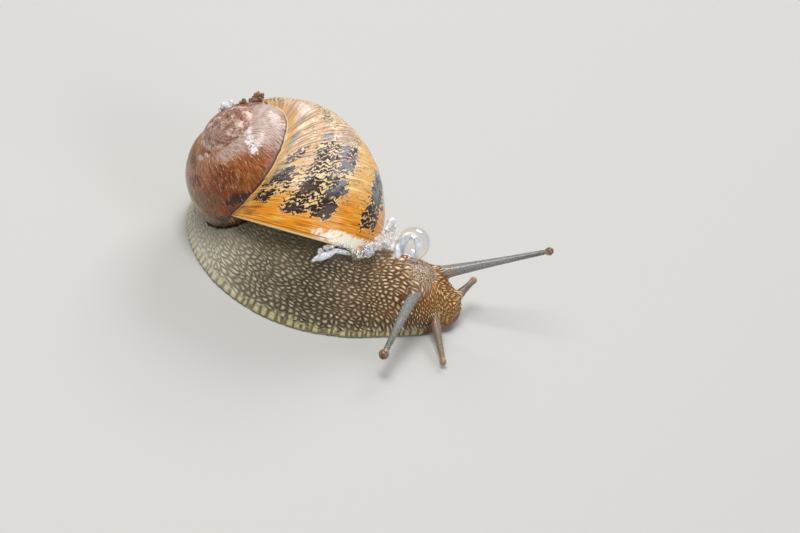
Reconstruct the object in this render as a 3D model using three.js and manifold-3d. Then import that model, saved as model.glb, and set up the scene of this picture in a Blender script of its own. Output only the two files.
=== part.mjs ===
// Garden snail, life size, creeping with its head turned to the right.
// Millimetres, +Z up, +X toward the head, -Y on the snail's right side.
import * as THREE from 'three';
import { mergeVertices } from 'three/addons/utils/BufferGeometryUtils.js';
import Module from 'manifold-3d';

const wasm = await Module();
wasm.setup();

// ---- driving dimensions ---------------------------------------------------
const GAP = 0.3;                 // clearance between neighbouring parts
const CENTRE_X = -2.525;         // middle of the finished box, moved to the origin
const CENTRE_Y = 13.665;

// shell: every ring is an ellipse that grows as it turns about the axis
const SHELL_SIZE = 20.26;        // radius of the last whorl at the lip, one shell size
const WHORL_GROWTH = 1.92;       // growth of the radius in one whorl
const WHORLS = [0, 0.6, 1.05, 1.5, 2, 2.5, 3.1, 3.7, 4.3]; // ends of the stretches
const WHORL_STEPS = [22, 13, 12, 11, 9, 8, 7, 6];          // rings along each stretch
const RING_OUT = 0.489;          // ring centre from the axis, in shell sizes
const RING_DOWN = 1.20;          // ring centre below the cone tip
const RING_WIDE = 0.505;         // half-axes of the ring
const RING_TALL = 0.707;
const RING_TILT = 0.132;         // lean of the ring, radians
const LIP_DROP = 0.199;          // descent of the last whorl at the lip
const DROP_SPAN = 0.6 * Math.PI; // turn over which it descends
const DOME = 0.239;              // rounding of the spire
const BORE = 0.02;               // rings stay this far off the axis
const SHELL_AT = [-30.51, 12.26, 25.36];         // tip of the cone that the rings follow
const SPIRE_DIR = [-0.662, -0.1411, 0.7361];     // axis, toward the tip
const START_DIR = [-0.0882, -0.9606, -0.2635];   // from the axis toward the lip
const LIP_NORMAL = [0.7575, -0.3181, -0.57];     // flat face of the lip, in shell axes
const LIP_OFFSET = 0.819;                        // and its distance, in shell sizes
const LIP_SEARCH = -1.5 * Math.PI;               // turn from which the lip is looked for
const RING_POINTS = 32;
const MOUTH_INSET = 1.1;         // wall of the shell at the mouth
const MOUTH_DEPTH = 3.2;         // depth of the recess in the mouth
const MOUTH_OVERCUT = 2;         // how far the cut runs out past the lip
const MOUTH_TAPER = 0.12;        // narrowing of the recess for each millimetre in
const COLLAR_SLACK = 0.1;        // extra room round the soft collar in the mouth
const COLLAR_SUNK = 0.15;        // collar below the lip
const LIP_PAD = 0.6;             // thickness of the room kept at the lip
const PILLAR = [[-0.3, 0.03], [-0.7, 0.05], [-1.36, 0.07]]; // height and radius, shell sizes
const PILLAR_POINTS = 10;

// foot and back: x, y, half width of the sole, half width of the back, height
const STATIONS = [
  [-22.0, 34.0, 0.5, 0.4, 0.7],
  [-24.6, 28.2, 2.7, 2.3, 2.5],
  [-25.6, 20.6, 4.3, 3.8, 4.0],
  [-22.7, 13.2, 5.8, 5.2, 6.6],
  [-17.6, 8.5, 7.4, 6.8, 12.5],
  [-12.6, 6.9, 8.7, 7.9, 17.0],
  [-7.6, 6.8, 9.0, 8.1, 17.5],
  [-2.6, 7.6, 8.3, 7.2, 13.8],
  [1.6, 8.9, 7.3, 6.3, 11.3],
  [5.2, 10.0, 6.2, 5.4, 10.2],
  [8.8, 11.2, 5.0, 4.7, 9.0],
  [11.6, 12.6, 4.0, 3.8, 5.0],
  [13.4, 13.4, 2.4, 2.0, 2.2],
];
const BACK_POWER = 2.5;          // roundness of the back in section
const FRINGE_FADE = 1.1;         // height over which the foot fringe fades
const SOLE_ROUND = 0.5;          // small round at the edge of the sole
const RING_FLAT = 4;             // points across the sole
const BACK_POINTS = 18;          // points over the back
const HEADING_SPAN = 0.4;        // stations either side that give the heading
const SEAM = 0.022;              // half the seam between two lengths, in stations
const TAIL_END = 3.0;            // station where the tail meets the foot
const NECK_START = 7.4;          // stations where the neck leaves the back
const NECK_END = 9.4;            // and meets the head
const FOOT_TOP = 2.3;            // the foot is the slab below this height
const TALL = 60;                 // higher than anything in the model
const WIDE = 200;                // and wider

// head: x, y, z, half width, half height, heading and roll in degrees
const HEAD_RINGS = [
  [6.3, 10.6, 5.5, 5.2, 4.8, 14, 2],
  [8.6, 11.5, 5.2, 4.9, 4.35, 8, 6],
  [10.6, 12.2, 4.45, 4.5, 3.7, 2, 10],
  [12.4, 12.6, 3.7, 4.0, 3.0, -8, 12],
  [14.0, 12.7, 2.85, 3.6, 2.3, -16, 12],
];
const HEAD_BACK = -0.13;         // the room for the head starts this far behind its first ring
const HEAD_STEPS = 8;
const HEAD_POINTS = 24;
const NOSE = [[1.1, 0.8], [1.8, 1.6]]; // rounded front: steps ahead and inset, mm
const NOSE_STEP = [0.9, -0.225, -0.09];
const HEAD_FLOOR = 0.4;          // underside of the head above the floor
const LIP_START = 3.55;          // ring position where the smooth lips begin
const LIP_SEAM = 0.08;           // half the seam behind them

// feelers: root inside the head, middle of the tip, then the radii of the
// root, the middle and the end, and of the knob
const STALK_POINTS = 12;
const STALK_STEPS = 7;
const STALK_FLARE = 2.2;         // how fast the flared root thins
const KNOB_STEPS = 6;
const KNOB_START = -0.55;        // where the knob leaves the stalk, radians
const KNOB_SUNK = 0.6;           // stalk end inside the knob, in knob radii
const UPPER_RIGHT = {
  root: [8.75, 9.7, 8.6],
  tip: [7.2, -6.1, 4.3],
  radii: [1.3, 0.62, 0.46],
  knob: 0.8,
};
const UPPER_LEFT = {
  root: [9.5, 14.2, 6.55],
  tip: [26.06, 19.6, 15.0],
  radii: [1.25, 0.62, 0.4],
  knob: 0.66,
};
const LOWER_RIGHT = {
  root: [12.5, 9.4, 3.2],
  tip: [16.2, 1.7, 1.0],
  radii: [0.9, 0.56, 0.43],
  knob: 0.54,
};
const LOWER_LEFT = {
  root: [14.3, 12.8, 3.9],
  tip: [16.6, 19.1, 5.2],
  radii: [1.0, 0.58, 0.5],
  knob: 0.54,
};

// ---- helpers ----------------------------------------------------------------
function toSolid(geometry) {
  const clean = geometry.clone();
  clean.deleteAttribute('normal');
  clean.deleteAttribute('uv');
  const merged = mergeVertices(clean, 1e-4);
  const mesh = new wasm.Mesh({
    numProp: 3,
    vertProperties: new Float32Array(merged.attributes.position.array),
    triVerts: new Uint32Array(merged.index.array),
  });
  return new wasm.Manifold(mesh);
}

function toGeometry(solid) {
  const mesh = solid.getMesh();
  const geometry = new THREE.BufferGeometry();
  geometry.setAttribute('position', new THREE.BufferAttribute(new Float32Array(mesh.vertProperties), 3));
  geometry.setIndex(new THREE.BufferAttribute(new Uint32Array(mesh.triVerts), 1));
  return geometry;
}

// the largest piece, without the splinters and pockets that a cut can leave
function biggest(solid) {
  let best = null;
  for (const piece of solid.decompose()) {
    if (!best || piece.volume() > best.volume()) best = piece;
  }
  return best;
}

// closed skin over a list of rings, each a list of Vector3, capped at both ends
function loft(rings) {
  const count = rings[0].length;
  const points = [];
  const faces = [];
  for (const ring of rings) {
    for (const p of ring) points.push(p.x, p.y, p.z);
  }
  for (let i = 0; i < rings.length - 1; i++) {
    for (let j = 0; j < count; j++) {
      const a = i * count + j;
      const b = i * count + (j + 1) % count;
      faces.push(a, b, b + count, a, b + count, a + count);
    }
  }
  for (const end of [0, rings.length - 1]) {
    const middle = new THREE.Vector3();
    for (const p of rings[end]) middle.addScaledVector(p, 1 / count);
    const centre = points.length / 3;
    points.push(middle.x, middle.y, middle.z);
    for (let j = 0; j < count; j++) {
      const a = end * count + j;
      const b = end * count + (j + 1) % count;
      if (end === 0) faces.push(centre, b, a);
      else faces.push(centre, a, b);
    }
  }
  const geometry = new THREE.BufferGeometry();
  geometry.setAttribute('position', new THREE.BufferAttribute(new Float32Array(points), 3));
  geometry.setIndex(faces);
  return geometry;
}

function solidFromRings(rings) {
  const solid = toSolid(loft(rings));
  if (solid.volume() > 0) return solid;
  return toSolid(loft(rings.map((ring) => ring.slice().reverse())));
}

function spline(rows, t) {
  const i = Math.min(Math.max(Math.floor(t), 0), rows.length - 2);
  const f = t - i;
  const p1 = rows[i];
  const p2 = rows[i + 1];
  const p0 = rows[i - 1] || p1.map((v, k) => 2 * v - p2[k]);
  const p3 = rows[i + 2] || p2.map((v, k) => 2 * v - p1[k]);
  return p1.map((v, k) => {
    const a = 2 * p1[k];
    const b = p2[k] - p0[k];
    const c = 2 * p0[k] - 5 * p1[k] + 4 * p2[k] - p3[k];
    const d = 3 * p1[k] - p0[k] - 3 * p2[k] + p3[k];
    return 0.5 * (a + b * f + c * f * f + d * f * f * f);
  });
}

// ---- shell --------------------------------------------------------------------
const spire = new THREE.Vector3(...SPIRE_DIR).normalize();
const start = new THREE.Vector3(...START_DIR);
start.addScaledVector(spire, -start.dot(spire)).normalize();
const side = new THREE.Vector3().crossVectors(spire, start);
const growth = Math.log(WHORL_GROWTH) / (2 * Math.PI);

// point of the shell in shell sizes, turn 0 is near the lip, phi goes round the ring
function ringPoint(turn, phi) {
  const s = Math.exp(growth * turn);
  const g = Math.max(0, 1 + turn / DROP_SPAN) ** 2;
  const u = RING_WIDE * Math.cos(phi);
  const v = RING_TALL * Math.sin(phi);
  const out = Math.max(BORE, RING_OUT + u * Math.cos(RING_TILT) - v * Math.sin(RING_TILT));
  const up = u * Math.sin(RING_TILT) + v * Math.cos(RING_TILT) - LIP_DROP * g;
  const z = s * up - Math.hypot(RING_DOWN * s, DOME);
  return [s * out * Math.cos(turn), -s * out * Math.sin(turn), z];
}

function lipDistance(p) {
  return p[0] * LIP_NORMAL[0] + p[1] * LIP_NORMAL[1] + p[2] * LIP_NORMAL[2] - LIP_OFFSET;
}

// turn at which the line phi of the last whorl reaches the flat lip
function lipTurn(phi) {
  let a = LIP_SEARCH;
  let step = 0.05;
  while (lipDistance(ringPoint(a + step, phi)) < 0) a += step;
  for (let i = 0; i < 30; i++) {
    step /= 2;
    if (lipDistance(ringPoint(a + step, phi)) < 0) a += step;
  }
  return a;
}

// point in shell sizes to its place in millimetres
function place(p) {
  const v = new THREE.Vector3(...SHELL_AT);
  v.addScaledVector(start, p[0] * SHELL_SIZE);
  v.addScaledVector(side, p[1] * SHELL_SIZE);
  v.addScaledVector(spire, p[2] * SHELL_SIZE);
  return v;
}

// the ring pushed outward from its own middle
function swellRing(ring, swell) {
  const middle = new THREE.Vector3();
  for (const p of ring) middle.addScaledVector(p, 1 / ring.length);
  return ring.map((p) => {
    const d = p.clone().sub(middle);
    return middle.clone().add(d.multiplyScalar(1 + swell / d.length()));
  });
}

// growth line of the shell, a number of radians behind the lip
function shellRing(turn, swell) {
  const ring = [];
  for (let j = 0; j < RING_POINTS; j++) {
    const phi = (2 * Math.PI * j) / RING_POINTS;
    ring.push(place(ringPoint(turn + lipTurn(phi), phi)));
  }
  return swell ? swellRing(ring, swell) : ring;
}

// stretch i of the whorl, which shares its end rings with its neighbours
function whorl(i, swell) {
  const from = -2 * Math.PI * WHORLS[i + 1];
  const to = -2 * Math.PI * WHORLS[i];
  const rings = [];
  for (let k = 0; k <= WHORL_STEPS[i]; k++) {
    rings.push(shellRing(from + ((to - from) * k) / WHORL_STEPS[i], swell));
  }
  return solidFromRings(rings);
}

// every stretch behind the last one
function olderWhorls(swell) {
  let solid = whorl(1, swell);
  for (let i = 2; i < WHORL_STEPS.length; i++) solid = solid.add(whorl(i, swell));
  return solid;
}

const lipNormal = new THREE.Vector3();
lipNormal.addScaledVector(start, LIP_NORMAL[0]);
lipNormal.addScaledVector(side, LIP_NORMAL[1]);
lipNormal.addScaledVector(spire, LIP_NORMAL[2]);
lipNormal.normalize();

// plug in the mouth of the shell, inset from the lip, from one depth to another
function mouthPlug(inset, inner, outer) {
  const lip = swellRing(shellRing(0, 0), -inset);
  const deep = lip.map((p) => p.clone().addScaledVector(lipNormal, -inner));
  const shallow = lip.map((p) => p.clone().addScaledVector(lipNormal, outer));
  return solidFromRings([swellRing(deep, -MOUTH_TAPER * inner), shallow]);
}

// the pillar that fills the thin bore along the axis
function pillar(swell) {
  const grow = swell / SHELL_SIZE;
  const rings = PILLAR.map(([z, r], i) => {
    const down = i === PILLAR.length - 1 ? grow : 0;
    const ring = [];
    for (let j = 0; j < PILLAR_POINTS; j++) {
      const a = (2 * Math.PI * j) / PILLAR_POINTS;
      ring.push(place([(r + grow) * Math.cos(a), (r + grow) * Math.sin(a), z - down]));
    }
    return ring;
  });
  return solidFromRings(rings);
}

const recess = mouthPlug(MOUTH_INSET, MOUTH_DEPTH, MOUTH_OVERCUT);
const shell = whorl(0, 0).subtract(recess).add(olderWhorls(0)).add(pillar(0));
const lipPad = mouthPlug(-GAP, LIP_PAD, GAP);
const collarRoom = mouthPlug(MOUTH_INSET + COLLAR_SLACK, MOUTH_DEPTH, GAP);
const olderRoom = olderWhorls(GAP);
const roomForShell = whorl(0, GAP).add(olderRoom).add(lipPad).add(collarRoom);
const collar = mouthPlug(MOUTH_INSET + GAP + COLLAR_SLACK, MOUTH_DEPTH - GAP, -COLLAR_SUNK)
  .subtract(olderRoom)
  .subtract(pillar(GAP));

// ---- foot, back, tail and neck ------------------------------------------------
const bodyEnd = STATIONS.length - 1;

function heading(t) {
  const a = spline(STATIONS, Math.max(t - HEADING_SPAN, 0));
  const b = spline(STATIONS, Math.min(t + HEADING_SPAN, bodyEnd));
  return Math.atan2(b[1] - a[1], b[0] - a[0]);
}

// section across the foot: a rounded back, a fringe that spreads low down, a flat sole
function bodyRing(t, swell) {
  const [x, y, ...widths] = spline(STATIONS, t);
  const [sole, back, height] = widths.map((v) => v + swell);
  const a = heading(t);
  const ring = [];
  const add = (offset, z) => {
    ring.push(new THREE.Vector3(x - offset * Math.sin(a), y + offset * Math.cos(a), z));
  };
  for (let j = 0; j <= BACK_POINTS; j++) {
    const angle = (Math.PI * j) / BACK_POINTS;
    const c = Math.cos(angle);
    const rise = Math.abs(Math.sin(angle)) ** (2 / BACK_POWER);
    const z = SOLE_ROUND + (height - SOLE_ROUND) * rise;
    const wide = back * Math.sign(c) * Math.abs(c) ** (2 / BACK_POWER);
    const fringe = (sole - back) * Math.exp(-(z - SOLE_ROUND) / FRINGE_FADE);
    add(wide + fringe * THREE.MathUtils.clamp(4 * c, -1, 1), z);
  }
  const flat = Math.max(sole - SOLE_ROUND, 0.3 * sole);
  for (let j = 0; j <= RING_FLAT; j++) add(flat * ((2 * j) / RING_FLAT - 1), 0);
  return ring;
}

function body(from, to, steps, swell) {
  const rings = [];
  for (let i = 0; i <= steps; i++) {
    rings.push(bodyRing(from + ((to - from) * i) / steps, swell));
  }
  return solidFromRings(rings);
}

// everything between two heights
function slab(z0, z1) {
  const box = new THREE.BoxGeometry(WIDE, WIDE, z1 - z0);
  box.translate(0, 0, (z0 + z1) / 2);
  return toSolid(box);
}

const upperPart = slab(FOOT_TOP + GAP, TALL);
const tail = body(0, TAIL_END - SEAM, 10, 0).subtract(roomForShell);
const sole = body(TAIL_END + SEAM, bodyEnd, 26, 0)
  .subtract(roomForShell)
  .intersect(slab(-1, FOOT_TOP));
const trunk = body(TAIL_END + SEAM, NECK_START - SEAM, 14, 0)
  .subtract(roomForShell)
  .intersect(upperPart);
const neckStock = body(NECK_START + SEAM, NECK_END, 8, 0)
  .subtract(roomForShell)
  .intersect(upperPart);

// ---- head ---------------------------------------------------------------------
function headRing(t, swell) {
  const [x, y, z, wide, tall, turn, lean] = spline(HEAD_RINGS, t);
  const a = THREE.MathUtils.degToRad(turn);
  const roll = THREE.MathUtils.degToRad(lean);
  const ring = [];
  for (let j = 0; j < HEAD_POINTS; j++) {
    const angle = (2 * Math.PI * j) / HEAD_POINTS;
    const u = (wide + swell) * Math.cos(angle);
    const v = (tall + swell) * Math.sin(angle);
    const across = u * Math.cos(roll) - v * Math.sin(roll);
    const up = u * Math.sin(roll) + v * Math.cos(roll);
    ring.push(new THREE.Vector3(x - across * Math.sin(a), y + across * Math.cos(a), z + up));
  }
  return ring;
}

// length of the head from one ring to another, with a round front after the last
function headSolid(swell, from, to) {
  const rings = [];
  for (let i = 0; i <= HEAD_STEPS; i++) {
    rings.push(headRing(from + ((to - from) * i) / HEAD_STEPS, swell));
  }
  if (to === muzzle) {
    const front = rings[HEAD_STEPS];
    const ahead = new THREE.Vector3(...NOSE_STEP);
    for (const [steps, inset] of NOSE) {
      rings.push(swellRing(front.map((p) => p.clone().addScaledVector(ahead, steps)), -inset));
    }
  }
  return solidFromRings(rings);
}

const muzzle = HEAD_RINGS.length - 1;
const headRoom = headSolid(GAP, HEAD_BACK, muzzle);
const foot = sole.subtract(headRoom);
const neck = neckStock.subtract(headRoom);
const aboveFloor = slab(HEAD_FLOOR, TALL);
const head = headSolid(0, 0, LIP_START - LIP_SEAM).intersect(aboveFloor);
const lips = headSolid(0, LIP_START + LIP_SEAM, muzzle).intersect(aboveFloor);
const footRoom = body(TAIL_END, bodyEnd, 24, GAP).intersect(slab(-1, FOOT_TOP + GAP));
const bodyRoom = body(TAIL_END, NECK_END, 18, GAP).add(footRoom);

// ---- feelers and eyes -----------------------------------------------------------
// solid of revolution whose axis runs from the root to the tip
function turned(profile, root, tip) {
  const axis = new THREE.Vector3(...tip).sub(new THREE.Vector3(...root)).normalize();
  const lathe = new THREE.LatheGeometry(profile, STALK_POINTS);
  const upright = new THREE.Vector3(0, 1, 0);
  lathe.applyQuaternion(new THREE.Quaternion().setFromUnitVectors(upright, axis));
  lathe.translate(...root);
  const solid = toSolid(lathe);
  if (solid.volume() > 0) return solid;
  lathe.index.array.reverse();
  return toSolid(lathe);
}

// stalk from the root to the tip, cut free of the head and the neck
function stalk({ root, tip, radii, knob }, withKnob) {
  const [wide, middle, narrow] = radii;
  const length = new THREE.Vector3(...root).distanceTo(new THREE.Vector3(...tip));
  const end = withKnob ? length - KNOB_SUNK * knob : length - knob - GAP;
  const profile = [new THREE.Vector2(0, 0)];
  for (let i = 0; i <= STALK_STEPS; i++) {
    const t = i / STALK_STEPS;
    const r = middle + (wide - middle) * (1 - t) ** STALK_FLARE + (narrow - middle) * t * t;
    profile.push(new THREE.Vector2(r, end * t));
  }
  if (withKnob) {
    for (let i = 1; i < KNOB_STEPS; i++) {
      const a = KNOB_START + (0.5 * Math.PI - KNOB_START) * (i / KNOB_STEPS);
      profile.push(new THREE.Vector2(knob * Math.cos(a), length + knob * Math.sin(a)));
    }
  }
  profile.push(new THREE.Vector2(0, withKnob ? length + knob : end));
  return turned(profile, root, tip).subtract(headRoom).subtract(bodyRoom);
}

function eye({ tip, knob }) {
  const ball = new THREE.SphereGeometry(knob, 12, 8);
  ball.translate(...tip);
  return toSolid(ball);
}

// ---- the snail ----------------------------------------------------------------
const finishes = {
  shell: { color: 0xb9793a, roughness: 0.3, metalness: 0 },
  skin: { color: 0x7d6a4f, roughness: 0.4, metalness: 0 },
  eye: { color: 0x5a3c28, roughness: 0.25, metalness: 0 },
};

const shellParts = new THREE.Group();
const bodyParts = new THREE.Group();
const headParts = new THREE.Group();

function addPart(parent, name, finish, solid) {
  const material = new THREE.MeshStandardMaterial(finishes[finish]);
  const mesh = new THREE.Mesh(toGeometry(biggest(solid)), material);
  mesh.name = name;
  parent.add(mesh);
}

addPart(shellParts, 'shell', 'shell', shell);
addPart(shellParts, 'mantle_collar', 'skin', collar);
addPart(bodyParts, 'tail', 'skin', tail);
addPart(bodyParts, 'foot', 'skin', foot);
addPart(bodyParts, 'trunk', 'skin', trunk);
addPart(bodyParts, 'neck', 'skin', neck);
addPart(headParts, 'head', 'skin', head);
addPart(headParts, 'lips', 'skin', lips);
addPart(headParts, 'upper_feeler_right', 'skin', stalk(UPPER_RIGHT, false));
addPart(headParts, 'upper_feeler_left', 'skin', stalk(UPPER_LEFT, false));
addPart(headParts, 'lower_feeler_right', 'skin', stalk(LOWER_RIGHT, true));
addPart(headParts, 'lower_feeler_left', 'skin', stalk(LOWER_LEFT, true));
addPart(headParts, 'eye_right', 'eye', eye(UPPER_RIGHT));
addPart(headParts, 'eye_left', 'eye', eye(UPPER_LEFT));

const placed = new THREE.Group();
placed.position.set(-CENTRE_X, -CENTRE_Y, 0);
placed.add(shellParts, bodyParts, headParts);

const snail = new THREE.Group();
snail.add(placed);

export default snail;
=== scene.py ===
import math

import bpy
import numpy as np
from mathutils import Matrix, Vector


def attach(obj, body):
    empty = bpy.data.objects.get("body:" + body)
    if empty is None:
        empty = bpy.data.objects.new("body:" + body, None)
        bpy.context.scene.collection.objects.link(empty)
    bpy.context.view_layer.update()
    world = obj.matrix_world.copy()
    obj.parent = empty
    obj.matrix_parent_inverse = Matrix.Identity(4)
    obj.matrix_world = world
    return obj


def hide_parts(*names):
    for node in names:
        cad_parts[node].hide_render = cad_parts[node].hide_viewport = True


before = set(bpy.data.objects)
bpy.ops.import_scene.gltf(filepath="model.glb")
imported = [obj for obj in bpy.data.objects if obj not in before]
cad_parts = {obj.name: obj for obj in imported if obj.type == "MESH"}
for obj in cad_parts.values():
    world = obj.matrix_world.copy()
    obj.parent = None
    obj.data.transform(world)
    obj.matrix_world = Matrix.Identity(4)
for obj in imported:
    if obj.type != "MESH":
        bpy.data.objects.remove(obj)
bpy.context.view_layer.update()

MM = 0.001
OFFSET = np.array([2.525, -13.665, 0.0])   # shifts the numbers below onto the part's origin

# ---------------------------------------------------------------------------
# Camera: looks down on the snail's right side from a little above, rolled so
# that the head points down to the right.
# ---------------------------------------------------------------------------
ELEVATION, ROLL = math.radians(35.0), math.radians(20.0)
DISTANCE, LENS = 441.0, 129.3               # from what it aims at, and focal length, mm
AIM = Vector(OFFSET + (4.953, 7.640, 10.910))

camera_data = bpy.data.cameras.new("camera")
camera_data.lens = LENS
camera_data.sensor_width = 36.0
camera_data.clip_start = 0.01
camera_data.clip_end = 10.0
camera = bpy.data.objects.new("camera", camera_data)
bpy.context.collection.objects.link(camera)
view_back = Vector((0.0, -math.cos(ELEVATION), math.sin(ELEVATION)))
level_right = Vector((1.0, 0.0, 0.0))
level_up = view_back.cross(level_right)
view_right = level_right * math.cos(ROLL) + level_up * math.sin(ROLL)
view_up = level_up * math.cos(ROLL) - level_right * math.sin(ROLL)
turn_matrix = Matrix((view_right, view_up, view_back)).transposed().to_4x4()
camera.matrix_world = Matrix.Translation((AIM + view_back * DISTANCE) * MM) @ turn_matrix
bpy.context.scene.camera = camera

# ---------------------------------------------------------------------------
# Studio: a plain pale floor, a large soft key overhead, a weaker fill from
# the right, a soft light from behind and an even sky all round.
# ---------------------------------------------------------------------------
FLOOR_HALF = 1.5
FLOOR_COLOUR = (0.50, 0.50, 0.49, 1.0)
floor_mesh = bpy.data.meshes.new("floor")
corners = [(FLOOR_HALF * x, FLOOR_HALF * y, 0) for x, y in ((-1, -1), (1, -1), (1, 1), (-1, 1))]
floor_mesh.from_pydata(corners, [], [(0, 1, 2, 3)])
floor = bpy.data.objects.new("floor", floor_mesh)
bpy.context.collection.objects.link(floor)
floor_paint = bpy.data.materials.new("floor_paint")
floor_paint.use_nodes = True
floor_shader = floor_paint.node_tree.nodes["Principled BSDF"]
floor_shader.inputs["Base Color"].default_value = FLOOR_COLOUR
floor_shader.inputs["Roughness"].default_value = 0.9
floor_mesh.materials.append(floor_paint)

for name, place, size, power, colour in (     # square soft lights that face the snail
        ("key", (-0.16, -0.10, 0.60), 0.28, 3.3, (1.0, 0.98, 0.95)),
        ("fill", (0.45, -0.35, 0.30), 0.40, 1.1, (0.95, 0.98, 1.0)),
        ("back", (0.05, 0.50, 0.40), 0.30, 2.0, (1.0, 1.0, 1.0))):
    data = bpy.data.lights.new(name, "AREA")
    data.size, data.energy, data.color = size, power, colour
    light = bpy.data.objects.new(name, data)
    bpy.context.collection.objects.link(light)
    light.location = place
    light.rotation_mode = "QUATERNION"
    light.rotation_quaternion = (-Vector(place)).to_track_quat("-Z", "Y")
sky = bpy.data.worlds.new("sky")
sky.use_nodes = True
sky_inputs = sky.node_tree.nodes["Background"].inputs
sky_inputs["Color"].default_value = (1.0, 0.985, 0.96, 1.0)
sky_inputs["Strength"].default_value = 0.28
bpy.context.scene.world = sky
bpy.context.scene.view_settings.view_transform = "Standard"

# ---------------------------------------------------------------------------
# Shell: one tube of lime and horn that coils to the right about a slanting
# axis, each ring of it added at the thin flat lip as the animal grows.
# ---------------------------------------------------------------------------
SHELL_SIZE = 20.26          # radius of the last whorl at the lip, one shell size
WHORL_GROWTH = 1.92         # growth of the radius in one whorl
WHORLS = 4.3
RING_OUT, RING_DOWN = 0.489, 1.20                       # the ring's middle off the axis and down it
RING_WIDE, RING_TALL, RING_TILT = 0.505, 0.707, 0.132   # its half sizes, and its tilt in radians
LIP_DROP, DROP_SPAN = 0.199, 0.6 * math.pi              # it sinks this much, over this much of a turn
DOME, BORE = 0.239, 0.02                                # roundness of the apex, least bore
SHELL_AT = np.array([-30.51, 12.26, 25.36]) + OFFSET
LIP_NORMAL = np.array([0.7575, -0.3181, -0.57])
LIP_OFFSET = 0.819
LIP_SEARCH = -1.5 * math.pi
FINE_SPAN, FINE_STEP, OLD_STEP = 8.0, 0.0135, 0.075   # ring spacing, radians
RING_POINTS = 96
MOUTH_WALL = (              # places behind the lip, radians, and the thickness of the wall there, mm
    (-0.004, 0.10), (0.0, 0.256), (0.02, 0.32), (0.06, 0.40), (0.12, 0.5), (0.20, 0.6), (0.30, 0.7),
)
NO_WHORL = 9.0              # stands for a distance from a whorl that isn't there, mm
PAST_LIP = 0.6              # a whorl is followed this far past the lip, radians

spire = np.array([-0.662, -0.1411, 0.7361])
spire /= np.linalg.norm(spire)
start = np.array([-0.0882, -0.9606, -0.2635])
start -= spire * (start @ spire)
start /= np.linalg.norm(start)
side = np.cross(spire, start)
growth_rate = math.log(WHORL_GROWTH) / (2 * math.pi)


def ring_point(turn, phi):
    """Point of the shell in shell sizes, at an angle about the axis and one about the ring."""
    s = np.exp(growth_rate * turn)
    drop = np.maximum(0, 1 + turn / DROP_SPAN) ** 2
    u = RING_WIDE * np.cos(phi)
    v = RING_TALL * np.sin(phi)
    out = np.maximum(BORE, RING_OUT + u * math.cos(RING_TILT) - v * math.sin(RING_TILT))
    up = u * math.sin(RING_TILT) + v * math.cos(RING_TILT) - LIP_DROP * drop
    z = s * up - np.hypot(RING_DOWN * s, DOME)
    return np.stack([s * out * np.cos(turn), -s * out * np.sin(turn), z], -1)


def lip_turn(phi):
    """Turn at which the line phi of the last whorl reaches the flat lip."""
    a = np.full(phi.shape, LIP_SEARCH)
    step = 0.05
    growing = np.ones(phi.shape, bool)
    while growing.any():
        growing &= ring_point(a + step, phi) @ LIP_NORMAL < LIP_OFFSET
        a = np.where(growing, a + step, a)
    for _ in range(30):
        step /= 2
        a = np.where(ring_point(a + step, phi) @ LIP_NORMAL < LIP_OFFSET, a + step, a)
    return a


def to_place(p):
    """Shell sizes to millimetres."""
    return SHELL_AT + SHELL_SIZE * (p[..., :1] * start + p[..., 1:2] * side + p[..., 2:] * spire)


def whorl_distance(local, back):
    """Distance outside the whorl that lies a number of turns back, mm, at points in shell sizes."""
    r = np.hypot(local[..., 0], local[..., 1])
    turn = np.arctan2(-local[..., 1], local[..., 0]) - 2 * math.pi * back
    s = np.exp(growth_rate * turn)
    drop = np.maximum(0, 1 + turn / DROP_SPAN) ** 2
    out = r / s - RING_OUT
    up = (local[..., 2] + np.hypot(RING_DOWN * s, DOME)) / s + LIP_DROP * drop
    u = out * math.cos(RING_TILT) + up * math.sin(RING_TILT)
    v = up * math.cos(RING_TILT) - out * math.sin(RING_TILT)
    level = np.maximum(np.hypot(u / RING_WIDE, v / RING_TALL), 1e-6)
    slope = np.hypot(u / RING_WIDE ** 2, v / RING_TALL ** 2) / level
    return (level - 1) / slope * s * SHELL_SIZE, turn


def value_noise(x, seed):
    """Smooth noise between -1 and 1 along a line, one bump for each unit."""
    rng = np.random.default_rng(seed)
    table = rng.uniform(-1, 1, 4096)
    i = np.floor(x).astype(int)
    f = x - i
    f = f * f * (3 - 2 * f)
    return table[i % 4096] * (1 - f) + table[(i + 1) % 4096] * f


def store(mesh, name, values):
    """A value or a vector on every point of a mesh."""
    values = np.asarray(values, np.float32)
    kind, key = ("FLOAT_VECTOR", "vector") if values.ndim == 2 else ("FLOAT", "value")
    mesh.attributes.new(name, kind, "POINT").data.foreach_set(key, values.ravel())


def make_piece(name, places, faces, attributes, edges=()):
    """A smooth mesh object from millimetres, with its attributes on the points."""
    mesh = bpy.data.meshes.new(name)
    mesh.from_pydata((np.asarray(places) * MM).tolist(), edges, faces)
    for key, values in attributes.items():
        store(mesh, key, values)
    mesh.polygons.foreach_set("use_smooth", [True] * len(mesh.polygons))
    piece = bpy.data.objects.new(name, mesh)
    bpy.context.collection.objects.link(piece)
    return piece


def tube_faces(rows, count):
    """Quads over rows of points in closed rings, with fans to the two end points after them."""
    i, j = np.meshgrid(np.arange(rows - 1), np.arange(count), indexing="ij")
    a = i * count + j
    b = i * count + (j + 1) % count
    faces = np.stack([a, b, b + count, a + count], -1).reshape(-1, 4).tolist()
    last, end = (rows - 1) * count, rows * count
    for j in range(count):
        k = (j + 1) % count
        faces += [[end, k, j], [end + 1, last + j, last + k]]
    return faces


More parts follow.
